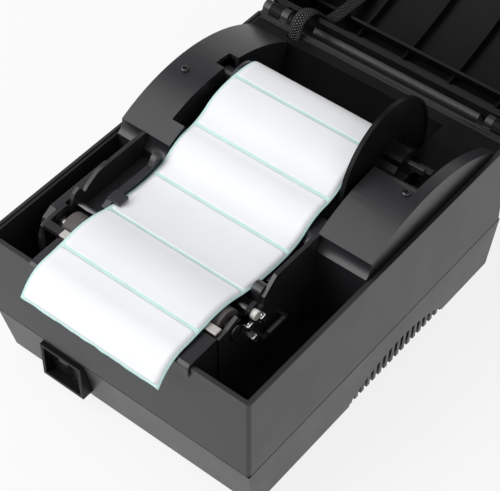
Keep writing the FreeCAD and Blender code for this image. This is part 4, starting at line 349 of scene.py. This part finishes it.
def make_finishes():
    """Makes every finish once and keeps it by its plain name."""
    hue = colours()
    FINISHES["case"] = surface("satin_case_plastic", hue.case, rough=0.38, vary=0.10, cloud=45, fine=2600,
                               depth=0.00003, strength=0.35, Specular_IOR_Level=0.45)
    moulded = {"cloud": 60, "fine": 1800, "depth": 0.00002, "strength": 0.2}
    FINISHES["bay"] = surface("bay_plastic", hue.bay, rough=0.34, vary=0.12, Specular_IOR_Level=0.48,
                              **moulded)
    FINISHES["inner"] = surface("inner_plastic", hue.inner, rough=0.32, vary=0.15, Specular_IOR_Level=0.08,
                                **moulded)
    FINISHES["matte"] = surface("matte_plastic", hue.case, rough=0.7, vary=0.15, Specular_IOR_Level=0.0,
                                **moulded)
    FINISHES["gloss"] = surface("polished_plastic", (0.010, 0.010, 0.011), rough=0.14, vary=0.1, cloud=80,
                                fine=500, depth=0.00001, strength=0.1)
    FINISHES["coat"] = surface("black_coat", hue.coat, rough=0.33, vary=0.12, cloud=120, fine=900,
                               depth=0.00002, strength=0.25)
    FINISHES["nylon"] = surface("nylon", hue.nylon, rough=0.45, vary=0.05, cloud=150, fine=2500,
                                depth=0.00002, strength=0.2)
    FINISHES["rubber"] = surface("platen_rubber", (0.090, 0.082, 0.079), rough=0.7, vary=0.2, cloud=200,
                                 fine=5000, depth=0.00004, strength=0.5)
    FINISHES["foot"] = surface("foot_rubber", (0.014, 0.014, 0.014), rough=0.8, vary=0.25, cloud=150,
                               fine=3500, depth=0.00004, strength=0.5)
    FINISHES["steel"] = metal("ground_steel", (0.56, 0.56, 0.57), rough=0.28, stretch=(0.04, 1, 1))
    FINISHES["bright"] = metal("bright_plate", (0.75, 0.75, 0.76), rough=0.16, depth=0.000004)
    FINISHES["plate"] = surface("dull_plated_bar", (0.66, 0.62, 0.60), rough=0.36, vary=0.08, cloud=90,
                                fine=1500, depth=0.00001, strength=0.25, stretch=(0.04, 1, 1), Metallic=0.35)
    FINISHES["spring"] = metal("spring_wire", (0.20, 0.19, 0.18), rough=0.24)
    FINISHES["dark"] = metal("blackened_steel", (0.09, 0.09, 0.095), rough=0.3)
    FINISHES["alloy"] = metal("drawn_alloy", (0.66, 0.67, 0.69), rough=0.38, stretch=(0.03, 1, 1),
                              depth=0.00002, strength=0.4)
    FINISHES["brass"] = metal("hobbed_brass", (0.66, 0.48, 0.20), rough=0.3, stretch=(0.1, 1, 1))
    FINISHES["label"] = surface("label_face", hue.label, rough=0.55, vary=0.015, cloud=35, fine=2200,
                                depth=0.00001, strength=0.25)
    FINISHES["liner"] = surface("release_liner", hue.liner, rough=0.35, vary=0.05, cloud=70, fine=1800,
                                depth=0.00001, strength=0.25)
    FINISHES["card"] = surface("wound_card", (0.42, 0.30, 0.18), rough=0.85, vary=0.2, cloud=220, fine=1600,
                               depth=0.00005, strength=0.5)
    FINISHES["ceramic"] = surface("glazed_ceramic", (0.70, 0.66, 0.58), rough=0.2, vary=0.06, cloud=90,
                                  fine=1200, depth=0.00001, strength=0.1)
    FINISHES["lens"] = surface("clear_lens", (0.70, 0.85, 0.78), rough=0.1, vary=0.03, cloud=90, fine=800,
                               depth=0.00001, strength=0.1, Transmission_Weight=0.8, IOR=1.49)
    FINISHES["board"] = board_finish("solder_mask")
    FINISHES["braid"] = braid_finish("braided_sleeve")
    FINISHES["wound"] = wound_finish("wound_paper_edge")


# Pieces

def new_piece(name, form, finish, body, *stands_for):
    """Makes an object of a bmesh, dresses it and lets it ride on a body, if one is named."""
    mesh = bpy.data.meshes.new(name)
    form.to_mesh(mesh)
    form.free()
    mesh.polygons.foreach_set("use_smooth", [True] * len(mesh.polygons))
    piece = bpy.data.objects.new(name, mesh)
    bpy.context.scene.collection.objects.link(piece)
    mesh.materials.append(FINISHES[finish])
    if body:
        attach(piece, body)
    if stands_for:
        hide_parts(*stands_for)
    return piece


def eased(node, finish, edge, angle=SHARP, rides=True):
    """Copy of a solid with its flat faces joined up and its sharp edges rounded, standing for that solid."""
    form = bmesh.new()
    form.from_mesh(SOLIDS[node].data)
    bmesh.ops.remove_doubles(form, verts=form.verts, dist=SAME_POINT)
    bmesh.ops.dissolve_limit(form, angle_limit=FLAT_ANGLE, verts=form.verts, edges=form.edges)
    piece = new_piece(node + "_eased", form, finish, OWNER[node] if rides else None, node)
    piece.data.set_sharp_from_angle(angle=math.radians(angle))
    if edge > 0:
        bevel = piece.modifiers.new("rounded_edges", "BEVEL")
        bevel.width = edge
        bevel.segments = sizes().edge_steps
        bevel.limit_method = "ANGLE"
        bevel.angle_limit = math.radians(angle)
        bevel.use_clamp_overlap = True
        bevel.harden_normals = True
        evened = piece.modifiers.new("even_shading", "WEIGHTED_NORMAL")
        evened.keep_sharp = True
    return piece


def extent(places):
    """Lowest and highest corners of the box round some places."""
    return (Vector([min(place[axis] for place in places) for axis in range(3)]),
            Vector([max(place[axis] for place in places) for axis in range(3)]))


def closing():
    """Matrix that carries a place on the open lid to where it lies when the lid is shut."""
    hinge = next(joint for joint in frame["record"]["behaviour"]["joints"] if joint["name"] == "lid_hinge")
    pivot = Matrix.Translation(hinge["pos_m"])
    return pivot @ Matrix.Rotation(math.radians(hinge["range_deg"][1]), 4, "X") @ pivot.inverted()


def shut_box(piece):
    """Lowest and highest corners of a piece on the lid when the lid is shut."""
    return extent([closing() @ vert.co for vert in piece.data.vertices])


def line_lid(piece):
    """Gives the faces inside the lid the finish of the inner mouldings, and its back wall a matte one."""
    mesh = piece.data
    mesh.materials.append(FINISHES["inner"])
    mesh.materials.append(FINISHES["matte"])
    low, high = shut_box(piece)
    for face in mesh.polygons:
        place = closing() @ face.center
        facing = closing().to_3x3() @ face.normal
        side = abs(facing.x) > STEEP and abs(place.x) > high.x - WALL_NEAR
        front = facing.y < -STEEP and place.y < low.y + WALL_NEAR
        cover = place.y > COVER_LINE and abs(place.x) < COVER_REACH
        if not (side or front or cover or facing.z > LEANING):
            face.material_index = 2 if facing.y > STEEP else 1


def paint_bay_shade(piece):
    """Paints shade on the trough, the shelf and the rear ledge of the roll bay by giving them the darker,
    duller finish of the inner mouldings.
    """
    # Painted shade: the inner finish darkens the faces that lie in shade under the lid and round the roll
    piece.data.materials.append(FINISHES["inner"])
    low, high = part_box("roll_core")
    axis = (low + high) / 2
    for face in piece.data.polygons:
        inward = Vector((0, axis.y - face.center.y, axis.z - face.center.z)).normalized()
        level = face.normal.z > SQUARE and abs(face.center.z - LEDGE_LEVEL) < LEDGE_NEAR
        if level or face.normal.dot(inward) > SQUARE:
            face.material_index = 1


def cross_screw(form, place, radius, height, length):
    """Adds a domed screw with a cross recess, drawn along +Z and moved by a matrix."""
    steps = 32
    turns = [2 * math.pi * step / steps for step in range(steps)]
    neck = radius / 2
    head = [(reach * radius, up * height) for reach, up in SCREW_HEAD]
    rings = []
    for reach, up in ((neck, -length), (neck, 0), *head):
        rings.append([form.verts.new(place @ Vector((reach * math.cos(turn), reach * math.sin(turn), up)))
                      for turn in turns])
    for lower, upper in zip(rings, rings[1:]):
        for step in range(steps):
            other = (step + 1) % steps
            form.faces.new((lower[step], lower[other], upper[other], upper[step]))
    form.faces.new(rings[0])
    arm, slot = CROSS_ARM * radius, CROSS_SLOT * radius
    quarter = [(arm, -slot), (arm, slot), (slot, slot)]
    cross = [Matrix.Rotation(math.pi / 2 * side, 2) @ Vector(spot) for side in range(4) for spot in quarter]
    mouth = [form.verts.new(place @ Vector((*spot, height))) for spot in cross]
    floor = [form.verts.new(place @ Vector((*(spot * CROSS_TAPER), CROSS_FLOOR * height))) for spot in cross]
    for step in range(len(cross)):
        other = (step + 1) % len(cross)
        form.faces.new((mouth[step], mouth[other], floor[other], floor[step]))
    form.faces.new(floor)
    border = [form.edges.get((loop[step], loop[(step + 1) % len(loop)]))
              for loop in (rings[-1], mouth) for step in range(len(loop))]
    bmesh.ops.triangle_fill(form, use_beauty=True, edges=border)


def islands(node):
    """Lowest and highest corners of each separate piece in a node."""
    form = bmesh.new()
    form.from_mesh(SOLIDS[node].data)
    bmesh.ops.remove_doubles(form, verts=form.verts, dist=SAME_POINT)
    left = set(form.verts)
    boxes = []
    while left:
        reached = [left.pop()]
        corners = []
        while reached:
            vert = reached.pop()
            corners.append(vert.co.copy())
            for edge in vert.link_edges:
                other = edge.other_vert(vert)
                if other in left:
                    left.remove(other)
                    reached.append(other)
        boxes.append(extent(corners))
    form.free()
    return boxes


# Routes

class Route:
    """Smooth side-view line, read from a spline through its control points."""

    def __init__(self, name, points):
        curve = bpy.data.curves.new(name, "CURVE")
        curve.dimensions = "3D"
        curve.resolution_u = 24
        spline = curve.splines.new("NURBS")
        spline.points.add(len(points) - 1)
        for point, (along, up) in zip(spline.points, points):
            point.co = (0, along, up, 1)
        spline.order_u = 3
        spline.use_endpoint_u = True
        line = bpy.data.objects.new(name, curve)
        bpy.context.scene.collection.objects.link(line)
        mesh = bpy.data.meshes.new_from_object(line)
        self.points = [vert.co.copy() for vert in mesh.vertices]
        bpy.data.objects.remove(line)
        bpy.data.curves.remove(curve)
        bpy.data.meshes.remove(mesh)
        self.marks = [0.0]
        for first, second in zip(self.points, self.points[1:]):
            self.marks.append(self.marks[-1] + (second - first).length)
        self.length = self.marks[-1]

    def at(self, distance):
        """Point and upward normal at a distance along the line."""
        step = 0
        while step < len(self.marks) - 2 and self.marks[step + 1] < distance:
            step += 1
        span = self.marks[step + 1] - self.marks[step]
        share = (distance - self.marks[step]) / span
        first, second = self.points[step], self.points[step + 1]
        ahead = (second - first).normalized()
        return first.lerp(second, share), Vector((0, ahead.z, -ahead.y))


class Winding:
    """Circle about the spindle, with the same call as a route."""

    def __init__(self, centre, radius):
        self.centre = Vector((0, *centre))
        self.radius = radius
        self.length = 2 * math.pi * radius

    def at(self, distance):
        """Point and outward normal at a distance round the circle."""
        angle = distance / self.radius
        out = Vector((0, math.cos(angle), math.sin(angle)))
        return self.centre + out * self.radius, out


def wobble(across, distance):
    """Small unevenness of paper that isn't stretched flat."""
    return WOBBLE_HEIGHT * noise.noise(Vector((across * 30, distance * 45, 3.7)))


def lay(form, route, lift, uneven=True):
    """Moves a flat form, drawn as (across, along, height), onto a route."""
    for vert in form.verts:
        across, distance, height = vert.co
        point, out = route.at(distance)
        rise = lift + height + (wobble(across, distance) if uneven else 0)
        vert.co = point + out * rise + Vector((across, 0, 0))


def strip(low, high, start, stop, columns, rows):
    """Flat grid from low to high across and from start to stop along."""
    form = bmesh.new()
    form.loops.layers.uv.new("map")
    bmesh.ops.create_grid(form, x_segments=columns, y_segments=rows, size=0.5, calc_uvs=True)
    bmesh.ops.scale(form, vec=(high - low, stop - start, 1), verts=form.verts)
    bmesh.ops.translate(form, vec=((low + high) / 2, (start + stop) / 2, 0), verts=form.verts)
    return form


def crease(form, low, high, count, facing):
    """Cuts a form into even bands between two places along one axis, so that it can bend."""
    for step in range(1, count):
        place = Vector(facing) * (low + (high - low) * step / count)
        bmesh.ops.bisect_plane(form, geom=[*form.verts, *form.edges, *form.faces], plane_co=place,
                               plane_no=facing)


def die_cut(low, high, start, stop, corner, rows):
    """Flat label with rounded corners, cut across so that it can bend."""
    form = strip(low, high, start, stop, columns=1, rows=1)
    bmesh.ops.bevel(form, geom=list(form.verts), offset=corner, offset_type="OFFSET", segments=4, profile=0.5,
                    affect="VERTICES", material=-1)
    crease(form, start, stop, count=rows, facing=(0, 1, 0))
    return form


def gather(whole, form):
    """Adds a form to a larger one and frees it."""
    mesh = bpy.data.meshes.new("gathered")
    form.to_mesh(mesh)
    form.free()
    whole.from_mesh(mesh)
    bpy.data.meshes.remove(mesh)


def thicken(piece, thickness):
    """Gives a sheet its thickness, half to each side."""
    wall = piece.modifiers.new("thickness", "SOLIDIFY")
    wall.thickness = thickness
    wall.offset = 0
    return piece


# Operators

class PRINTER_OT_case(Operator):
    """Dresses the case, the lid, the feet and the hinge pins."""

    bl_idname = "printer.case"
    bl_label = "Case and lid"

    def execute(self, context):
        for node in ("lower_case", "upper_case"):
            eased(node, "case", sizes().case_edge)
        line_lid(eased("lid_shell", "case", sizes().case_edge))
        eased("rubber_feet", "foot", sizes().trim_edge)
        eased("hinge_pins", "steel", sizes().metal_edge)
        return {"FINISHED"}


class PRINTER_OT_bay(Operator):
    """Dresses the roll bay, with painted shade on its trough, shelf and rear ledge, and the tray and the
    cable clip.
    """

    bl_idname = "printer.bay"
    bl_label = "Roll bay"

    def execute(self, context):
        paint_bay_shade(eased("roll_bay", "bay", sizes().case_edge))
        eased("pocket_tray", "inner", sizes().trim_edge)
        eased("cable_clip", "inner", sizes().trim_edge)
        return {"FINISHED"}


class PRINTER_OT_roll(Operator):
    """Winds the paper on its core and dresses the spindle and the flange."""

    bl_idname = "printer.roll"
    bl_label = "Label roll"

    def execute(self, context):
        eased("spindle", "bay", sizes().trim_edge)
        eased("sliding_flange", "inner", sizes().trim_edge)
        eased("roll_core", "card", 0)
        low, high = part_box("label_roll")
        radius = (high.z - low.z) / 2
        middle = ((low.y + high.y) / 2, (low.z + high.z) / 2)
        bore = (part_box("roll_core")[1].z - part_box("roll_core")[0].z) / 2
        outer = radius - WOUND_DROP
        form = bmesh.new()
        outline = [(low.x, bore), (high.x, bore), (high.x, outer), (low.x, outer)]
        rim = [form.verts.new((x, middle[0], middle[1] + reach)) for x, reach in outline]
        edges = [form.edges.new(pair) for pair in zip(rim, rim[1:] + rim[:1])]
        bmesh.ops.spin(form, geom=rim + edges, cent=(0, *middle), axis=(1, 0, 0), angle=2 * math.pi,
                       steps=ROLL_STEPS, use_merge=True)
        bmesh.ops.remove_doubles(form, verts=form.verts, dist=SEAM)
        bmesh.ops.recalc_face_normals(form, faces=form.faces)
        piece = new_piece("wound_paper", form, "wound", "roll", "label_roll")
        piece.data.set_sharp_from_angle(angle=math.radians(PAPER_SHARP))
        self.outer_turn(low.x, high.x, middle, radius)
        return {"FINISHED"}

    def outer_turn(self, low, high, middle, radius):
        """Liner and labels of the turn that shows."""
        winding = Winding(middle, radius - TURN_DROP)
        size = sizes()
        form = strip(low, high, 0, winding.length, columns=1, rows=ROLL_STEPS)
        lay(form, winding, 0, uneven=False)
        bmesh.ops.remove_doubles(form, verts=form.verts, dist=LINER_SEAM)
        bmesh.ops.recalc_face_normals(form, faces=form.faces)
        turn = thicken(new_piece("outer_liner", form, "liner", "roll"), size.liner_thickness)
        whole = bmesh.new()
        count = int(winding.length / size.label_pitch)
        for index in range(count):
            start = index * winding.length / count
            form = die_cut(low + size.label_margin, high - size.label_margin, start,
                           start + winding.length / count - size.label_gap, size.label_corner, rows=30)
            lay(form, winding, size.liner_thickness, uneven=False)
            gather(whole, form)
        labels = thicken(new_piece("outer_labels", whole, "label", "roll"), size.label_thickness)


class PRINTER_OT_web(Operator):
    """Lays the liner and its die-cut labels from the roll to the torn end."""

    bl_idname = "printer.web"
    bl_label = "Label web"

    def execute(self, context):
        size = sizes()
        low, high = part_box("label_web")[0].x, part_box("label_web")[1].x
        route = Route("web_route", WEB_ROUTE)
        form = strip(low, high, 0, route.length, columns=40, rows=240)
        for vert in form.verts:
            torn = max(0, vert.co.y - route.length + TORN_REACH) / TORN_REACH
            ragged = noise.noise(Vector((vert.co.x * 260, 1.3, 0)))
            vert.co.y -= torn * (TORN_MEAN + TORN_RAGGED * ragged)
        lay(form, route, 0)
        liner = thicken(new_piece("label_liner", form, "liner", "base", "label_web"), size.liner_thickness)
        whole = bmesh.new()
        lead = 0.0004
        start = size.first_gap - size.label_pitch + size.label_gap / 2
        while start < route.length - size.label_gap:
            stop = min(start + size.label_pitch - size.label_gap, route.length - size.label_gap)
            if stop - start > 4 * size.label_corner:
                self.add_label(whole, route, (low, high), (max(start, lead), stop))
            start += size.label_pitch
        labels = thicken(new_piece("die_cut_labels", whole, "label", "base"), size.label_thickness)
        return {"FINISHED"}

    def add_label(self, whole, route, width, span):
        """Adds one label that lies on the liner between two distances along its route."""
        size = sizes()
        low, high = width
        form = die_cut(low + size.label_margin, high - size.label_margin, *span, size.label_corner, rows=44)
        crease(form, low, high, count=20, facing=(1, 0, 0))
        lay(form, route, (size.liner_thickness + size.label_thickness) / 2)
        gather(whole, form)


class PRINTER_OT_chassis(Operator):
    """Dresses the frames, deck, guides, rod and spring."""

    bl_idname = "printer.chassis"
    bl_label = "Chassis"

    def execute(self, context):
        size = sizes()
        for node in ("left_frame", "right_frame"):
            eased(node, "coat", size.metal_edge)
        for node in ("media_deck", "left_guide", "right_guide", "exit_ramp", "gear_cover"):
            eased(node, "bay", size.trim_edge)
        eased("gap_sensor", "inner", size.trim_edge)
        eased("guide_rod", "dark", size.metal_edge)
        eased("tear_bar", "plate", size.metal_edge)
        eased("rod_bush", "nylon", size.case_edge)
        eased("frame_spring", "spring", 0, COIL_SHARP)
        return {"FINISHED"}


class PRINTER_OT_drive(Operator):
    """Dresses the platen, its gear train and its motor."""

    bl_idname = "printer.drive"
    bl_label = "Platen and drive"

    def execute(self, context):
        size = sizes()
        eased("platen_rubber", "rubber", size.metal_edge)
        for node in ("platen_shaft", "idler_shaft", "stepper_motor"):
            eased(node, "steel", size.metal_edge)
        eased("platen_bushes", "inner", size.metal_edge)
        for node in ("platen_gear", "idler_gear"):
            eased(node, "nylon", size.metal_edge)
        eased("motor_pinion", "brass", 0)
        return {"FINISHED"}


class PRINTER_OT_switch(Operator):
    """Dresses the power switch."""

    bl_idname = "printer.switch"
    bl_label = "Power switch"

    def execute(self, context):
        eased("switch_housing", "inner", sizes().trim_edge)
        eased("rocker", "gloss", sizes().trim_edge)
        return {"FINISHED"}


class PRINTER_OT_head(Operator):
    """Dresses the print head in the lid."""

    bl_idname = "printer.head"
    bl_label = "Print head"

    def execute(self, context):
        size = sizes()
        eased("head_bracket", "coat", size.metal_edge)
        eased("head_heatsink", "alloy", size.metal_edge)
        eased("print_head", "ceramic", size.metal_edge)
        eased("head_connector", "inner", size.metal_edge)
        eased("head_pivot_pin", "steel", size.metal_edge)
        springs = eased("head_springs", "spring", 0, COIL_SHARP, rides=False)
        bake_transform(springs)
        return {"FINISHED"}


class PRINTER_OT_panel(Operator):
    """Dresses the feed button, its lenses and its board."""

    bl_idname = "printer.panel"
    bl_label = "Control panel"

    def execute(self, context):
        eased("feed_button", "gloss", sizes().trim_edge)
        eased("indicator_lens", "lens", sizes().metal_edge)
        eased("button_board", "board", 0)
        return {"FINISHED"}


class PRINTER_OT_electronics(Operator):
    """Dresses the main board and its sockets."""

    bl_idname = "printer.electronics"
    bl_label = "Electronics"

    def execute(self, context):
        eased("main_board", "board", 0)
        eased("usb_socket", "steel", sizes().metal_edge)
        eased("dc_jack", "inner", sizes().trim_edge)
        return {"FINISHED"}


class PRINTER_OT_fasteners(Operator):
    """Dresses the screws."""

    bl_idname = "printer.fasteners"
    bl_label = "Screws"

    def execute(self, context):
        for node in ("base_screws", "motor_screws", "lid_screws"):
            eased(node, "bright", sizes().metal_edge)
        sideways = Matrix.Rotation(math.pi / 2, 4, "Y")
        self.recessed("frame_screws", "bright", sideways, sizes().frame_screw_height)
        self.recessed("bay_screws", "dark", Matrix.Identity(4), sizes().bay_screw_height)
        return {"FINISHED"}

    def recessed(self, node, finish, turn, height):
        """Screws with cross recesses in the places of a node's separate screws."""
        form = bmesh.new()
        outward = turn.to_3x3() @ Vector((0, 0, 1))
        sideways = turn.to_3x3() @ Vector((0, 1, 0))
        for low, high in islands(node):
            whole = (high - low).dot(outward)
            radius = (high - low).dot(sideways) / 2
            seat = (low + high) / 2 + outward * (whole / 2 - height)
            cross_screw(form, Matrix.Translation(seat) @ turn, radius, height, whole - height)
        bmesh.ops.recalc_face_normals(form, faces=form.faces)
        piece = new_piece(node + "_recessed", form, finish, OWNER[node], node)
        piece.data.set_sharp_from_angle(angle=math.radians(SCREW_SHARP))


class PRINTER_OT_sleeve(Operator):
    """Braids the flat sleeve from the rear ledge to the print head."""

    bl_idname = "printer.sleeve"
    bl_label = "Braided sleeve"

    def execute(self, context):
        size = sizes()
        low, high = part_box("cable_sleeve")
        middle = (low.x + high.x) / 2
        route = Route("sleeve_route", SLEEVE_ROUTE)
        form = strip(0, 1, 0, route.length, columns=20, rows=220)
        for vert in form.verts:
            angle = 2 * math.pi * vert.co.x
            point, out = route.at(vert.co.y)
            round_x = math.copysign(abs(math.cos(angle)) ** SLEEVE_ROUNDING, math.cos(angle))
            vert.co = (point + out * math.sin(angle) * size.sleeve_thickness / 2
                       + Vector((middle + round_x * size.sleeve_width / 2, 0, 0)))
        bmesh.ops.remove_doubles(form, verts=form.verts, dist=SEAM)
        bmesh.ops.holes_fill(form, edges=form.edges, sides=0)
        bmesh.ops.recalc_face_normals(form, faces=form.faces)
        piece = new_piece("braided_sleeve", form, "braid", None, "cable_sleeve")
        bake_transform(piece)
        return {"FINISHED"}


class PRINTER_OT_stage(Operator):
    """Sets the floor, the lamps, the world and the camera."""

    bl_idname = "printer.stage"
    bl_label = "Stage"

    def execute(self, context):
        scene = context.scene
        stage = scene.printer_stage
        scene.view_settings.view_transform = "Standard"
        form = bmesh.new()
        bmesh.ops.create_grid(form, x_segments=1, y_segments=1, size=FLOOR_REACH)
        mesh = bpy.data.meshes.new("floor")
        form.to_mesh(mesh)
        form.free()
        floor = bpy.data.objects.new("floor", mesh)
        scene.collection.objects.link(floor)
        mesh.materials.append(self.floor_finish())
        self.light_world(scene, stage.world_level)
        for name, place, width, power in LAMPS:
            self.lamp(name, place, width, getattr(stage, power))
        lens = bpy.data.cameras.new("camera")
        lens.sensor_width = 36
        lens.lens = stage.lens
        lens.clip_end = 50
        camera = bpy.data.objects.new("camera", lens)
        camera.location = stage.camera_place
        camera.rotation_euler = stage.camera_turn
        scene.collection.objects.link(camera)
        scene.camera = camera
        return {"FINISHED"}

    def seen(self, tree):
        """One where a ray comes from the camera, a gloss or a clear body."""
        path = add(tree, "ShaderNodeLightPath")
        kinds = [path.outputs[kind] for kind in ("Is Camera Ray", "Is Transmission Ray", "Is Glossy Ray")]
        found = kinds[0]
        for kind in kinds[1:]:
            either = add(tree, "ShaderNodeMath")
            either.operation = "MAXIMUM"
            tree.links.new(found, either.inputs[0])
            tree.links.new(kind, either.inputs[1])
            found = either.outputs["Value"]
        return found

    def floor_finish(self):
        """Pale floor that keeps the shadow and is white where the camera sees it lit."""
        material, tree, shader = tree_of("pale_floor")
        shader.inputs["Base Color"].default_value = (0.82, 0.82, 0.82, 1)
        shader.inputs["Roughness"].default_value = 0.9
        shader.inputs["Specular IOR Level"].default_value = 0.1
        glow = add(tree, "ShaderNodeEmission", Strength=1.0)
        mix = add(tree, "ShaderNodeMixShader")
        share = add(tree, "ShaderNodeMath")
        share.operation = "MULTIPLY"
        share.inputs[1].default_value = FLOOR_GLOW
        output = tree.nodes["Material Output"]
        tree.links.new(self.seen(tree), share.inputs[0])
        tree.links.new(share.outputs["Value"], mix.inputs["Fac"])
        tree.links.new(shader.outputs["BSDF"], mix.inputs[1])
        tree.links.new(glow.outputs["Emission"], mix.inputs[2])
        tree.links.new(mix.outputs["Shader"], output.inputs["Surface"])
        return material

    def light_world(self, scene, level):
        """World that lights the printer at a level of its own and shows as a backdrop."""
        world = bpy.data.worlds.new("studio")
        scene.world = world
        world.use_nodes = True
        tree = world.node_tree
        back = tree.nodes["Background"]
        back.inputs["Color"].default_value = (1, 1, 1, 1)
        reach = add(tree, "ShaderNodeMapRange")
        reach.inputs["To Min"].default_value = level
        tree.links.new(self.seen(tree), reach.inputs["Value"])
        tree.links.new(self.ceiling(tree), reach.inputs["To Max"])
        tree.links.new(reach.outputs["Result"], back.inputs["Strength"])

    def ceiling(self, tree):
        """White backdrop up to the horizon and well above it, and a dim ceiling over that."""
        place = add(tree, "ShaderNodeTexCoord")
        parts = add(tree, "ShaderNodeSeparateXYZ")
        fade = add(tree, "ShaderNodeMapRange")
        fade.interpolation_type = "SMOOTHSTEP"
        for name, setting in (("From Min", 0.40), ("From Max", 0.75), ("To Min", 1.0), ("To Max", 0.12)):
            fade.inputs[name].default_value = setting
        tree.links.new(place.outputs["Generated"], parts.inputs["Vector"])
        tree.links.new(parts.outputs["Z"], fade.inputs["Value"])
        return fade.outputs["Result"]

    def lamp(self, name, place, width, power):
        """Round soft lamp that points at the printer."""
        light = bpy.data.lights.new(name, "AREA")
        light.shape = "DISK"
        light.size = width
        light.energy = power
        lamp = bpy.data.objects.new(name, light)
        lamp.location = place
        lamp.rotation_euler = (LAMP_AIM - Vector(place)).to_track_quat("-Z", "Y").to_euler()
        bpy.context.scene.collection.objects.link(lamp)


STEPS = (PRINTER_OT_stage, PRINTER_OT_web, PRINTER_OT_sleeve, PRINTER_OT_case, PRINTER_OT_bay,
         PRINTER_OT_roll, PRINTER_OT_chassis, PRINTER_OT_drive, PRINTER_OT_switch, PRINTER_OT_head,
         PRINTER_OT_panel, PRINTER_OT_electronics, PRINTER_OT_fasteners)


class PRINTER_PT_looks(Panel):
    """Lists the steps that dress the printer."""

    bl_label = "Label printer"
    bl_idname = "PRINTER_PT_looks"
    bl_space_type = "VIEW_3D"
    bl_region_type = "UI"
    bl_category = "Label printer"

    def draw(self, context):
        for step in STEPS:
            self.layout.operator(step.bl_idname)


CLASSES = (PrinterColours, PrinterSizes, PrinterStage, *STEPS, PRINTER_PT_looks)


def register():
    for item in CLASSES:
        bpy.utils.register_class(item)
    bpy.types.Scene.printer_colours = PointerProperty(type=PrinterColours)
    bpy.types.Scene.printer_sizes = PointerProperty(type=PrinterSizes)
    bpy.types.Scene.printer_stage = PointerProperty(type=PrinterStage)


def unregister():
    del bpy.types.Scene.printer_stage
    del bpy.types.Scene.printer_sizes
    del bpy.types.Scene.printer_colours
    for item in reversed(CLASSES):
        bpy.utils.unregister_class(item)


def main():
    register()
    make_finishes()
    for step in STEPS:
        group, name = step.bl_idname.split(".")
        getattr(getattr(bpy.ops, group), name)()


if __name__ == "__main__":
    main()
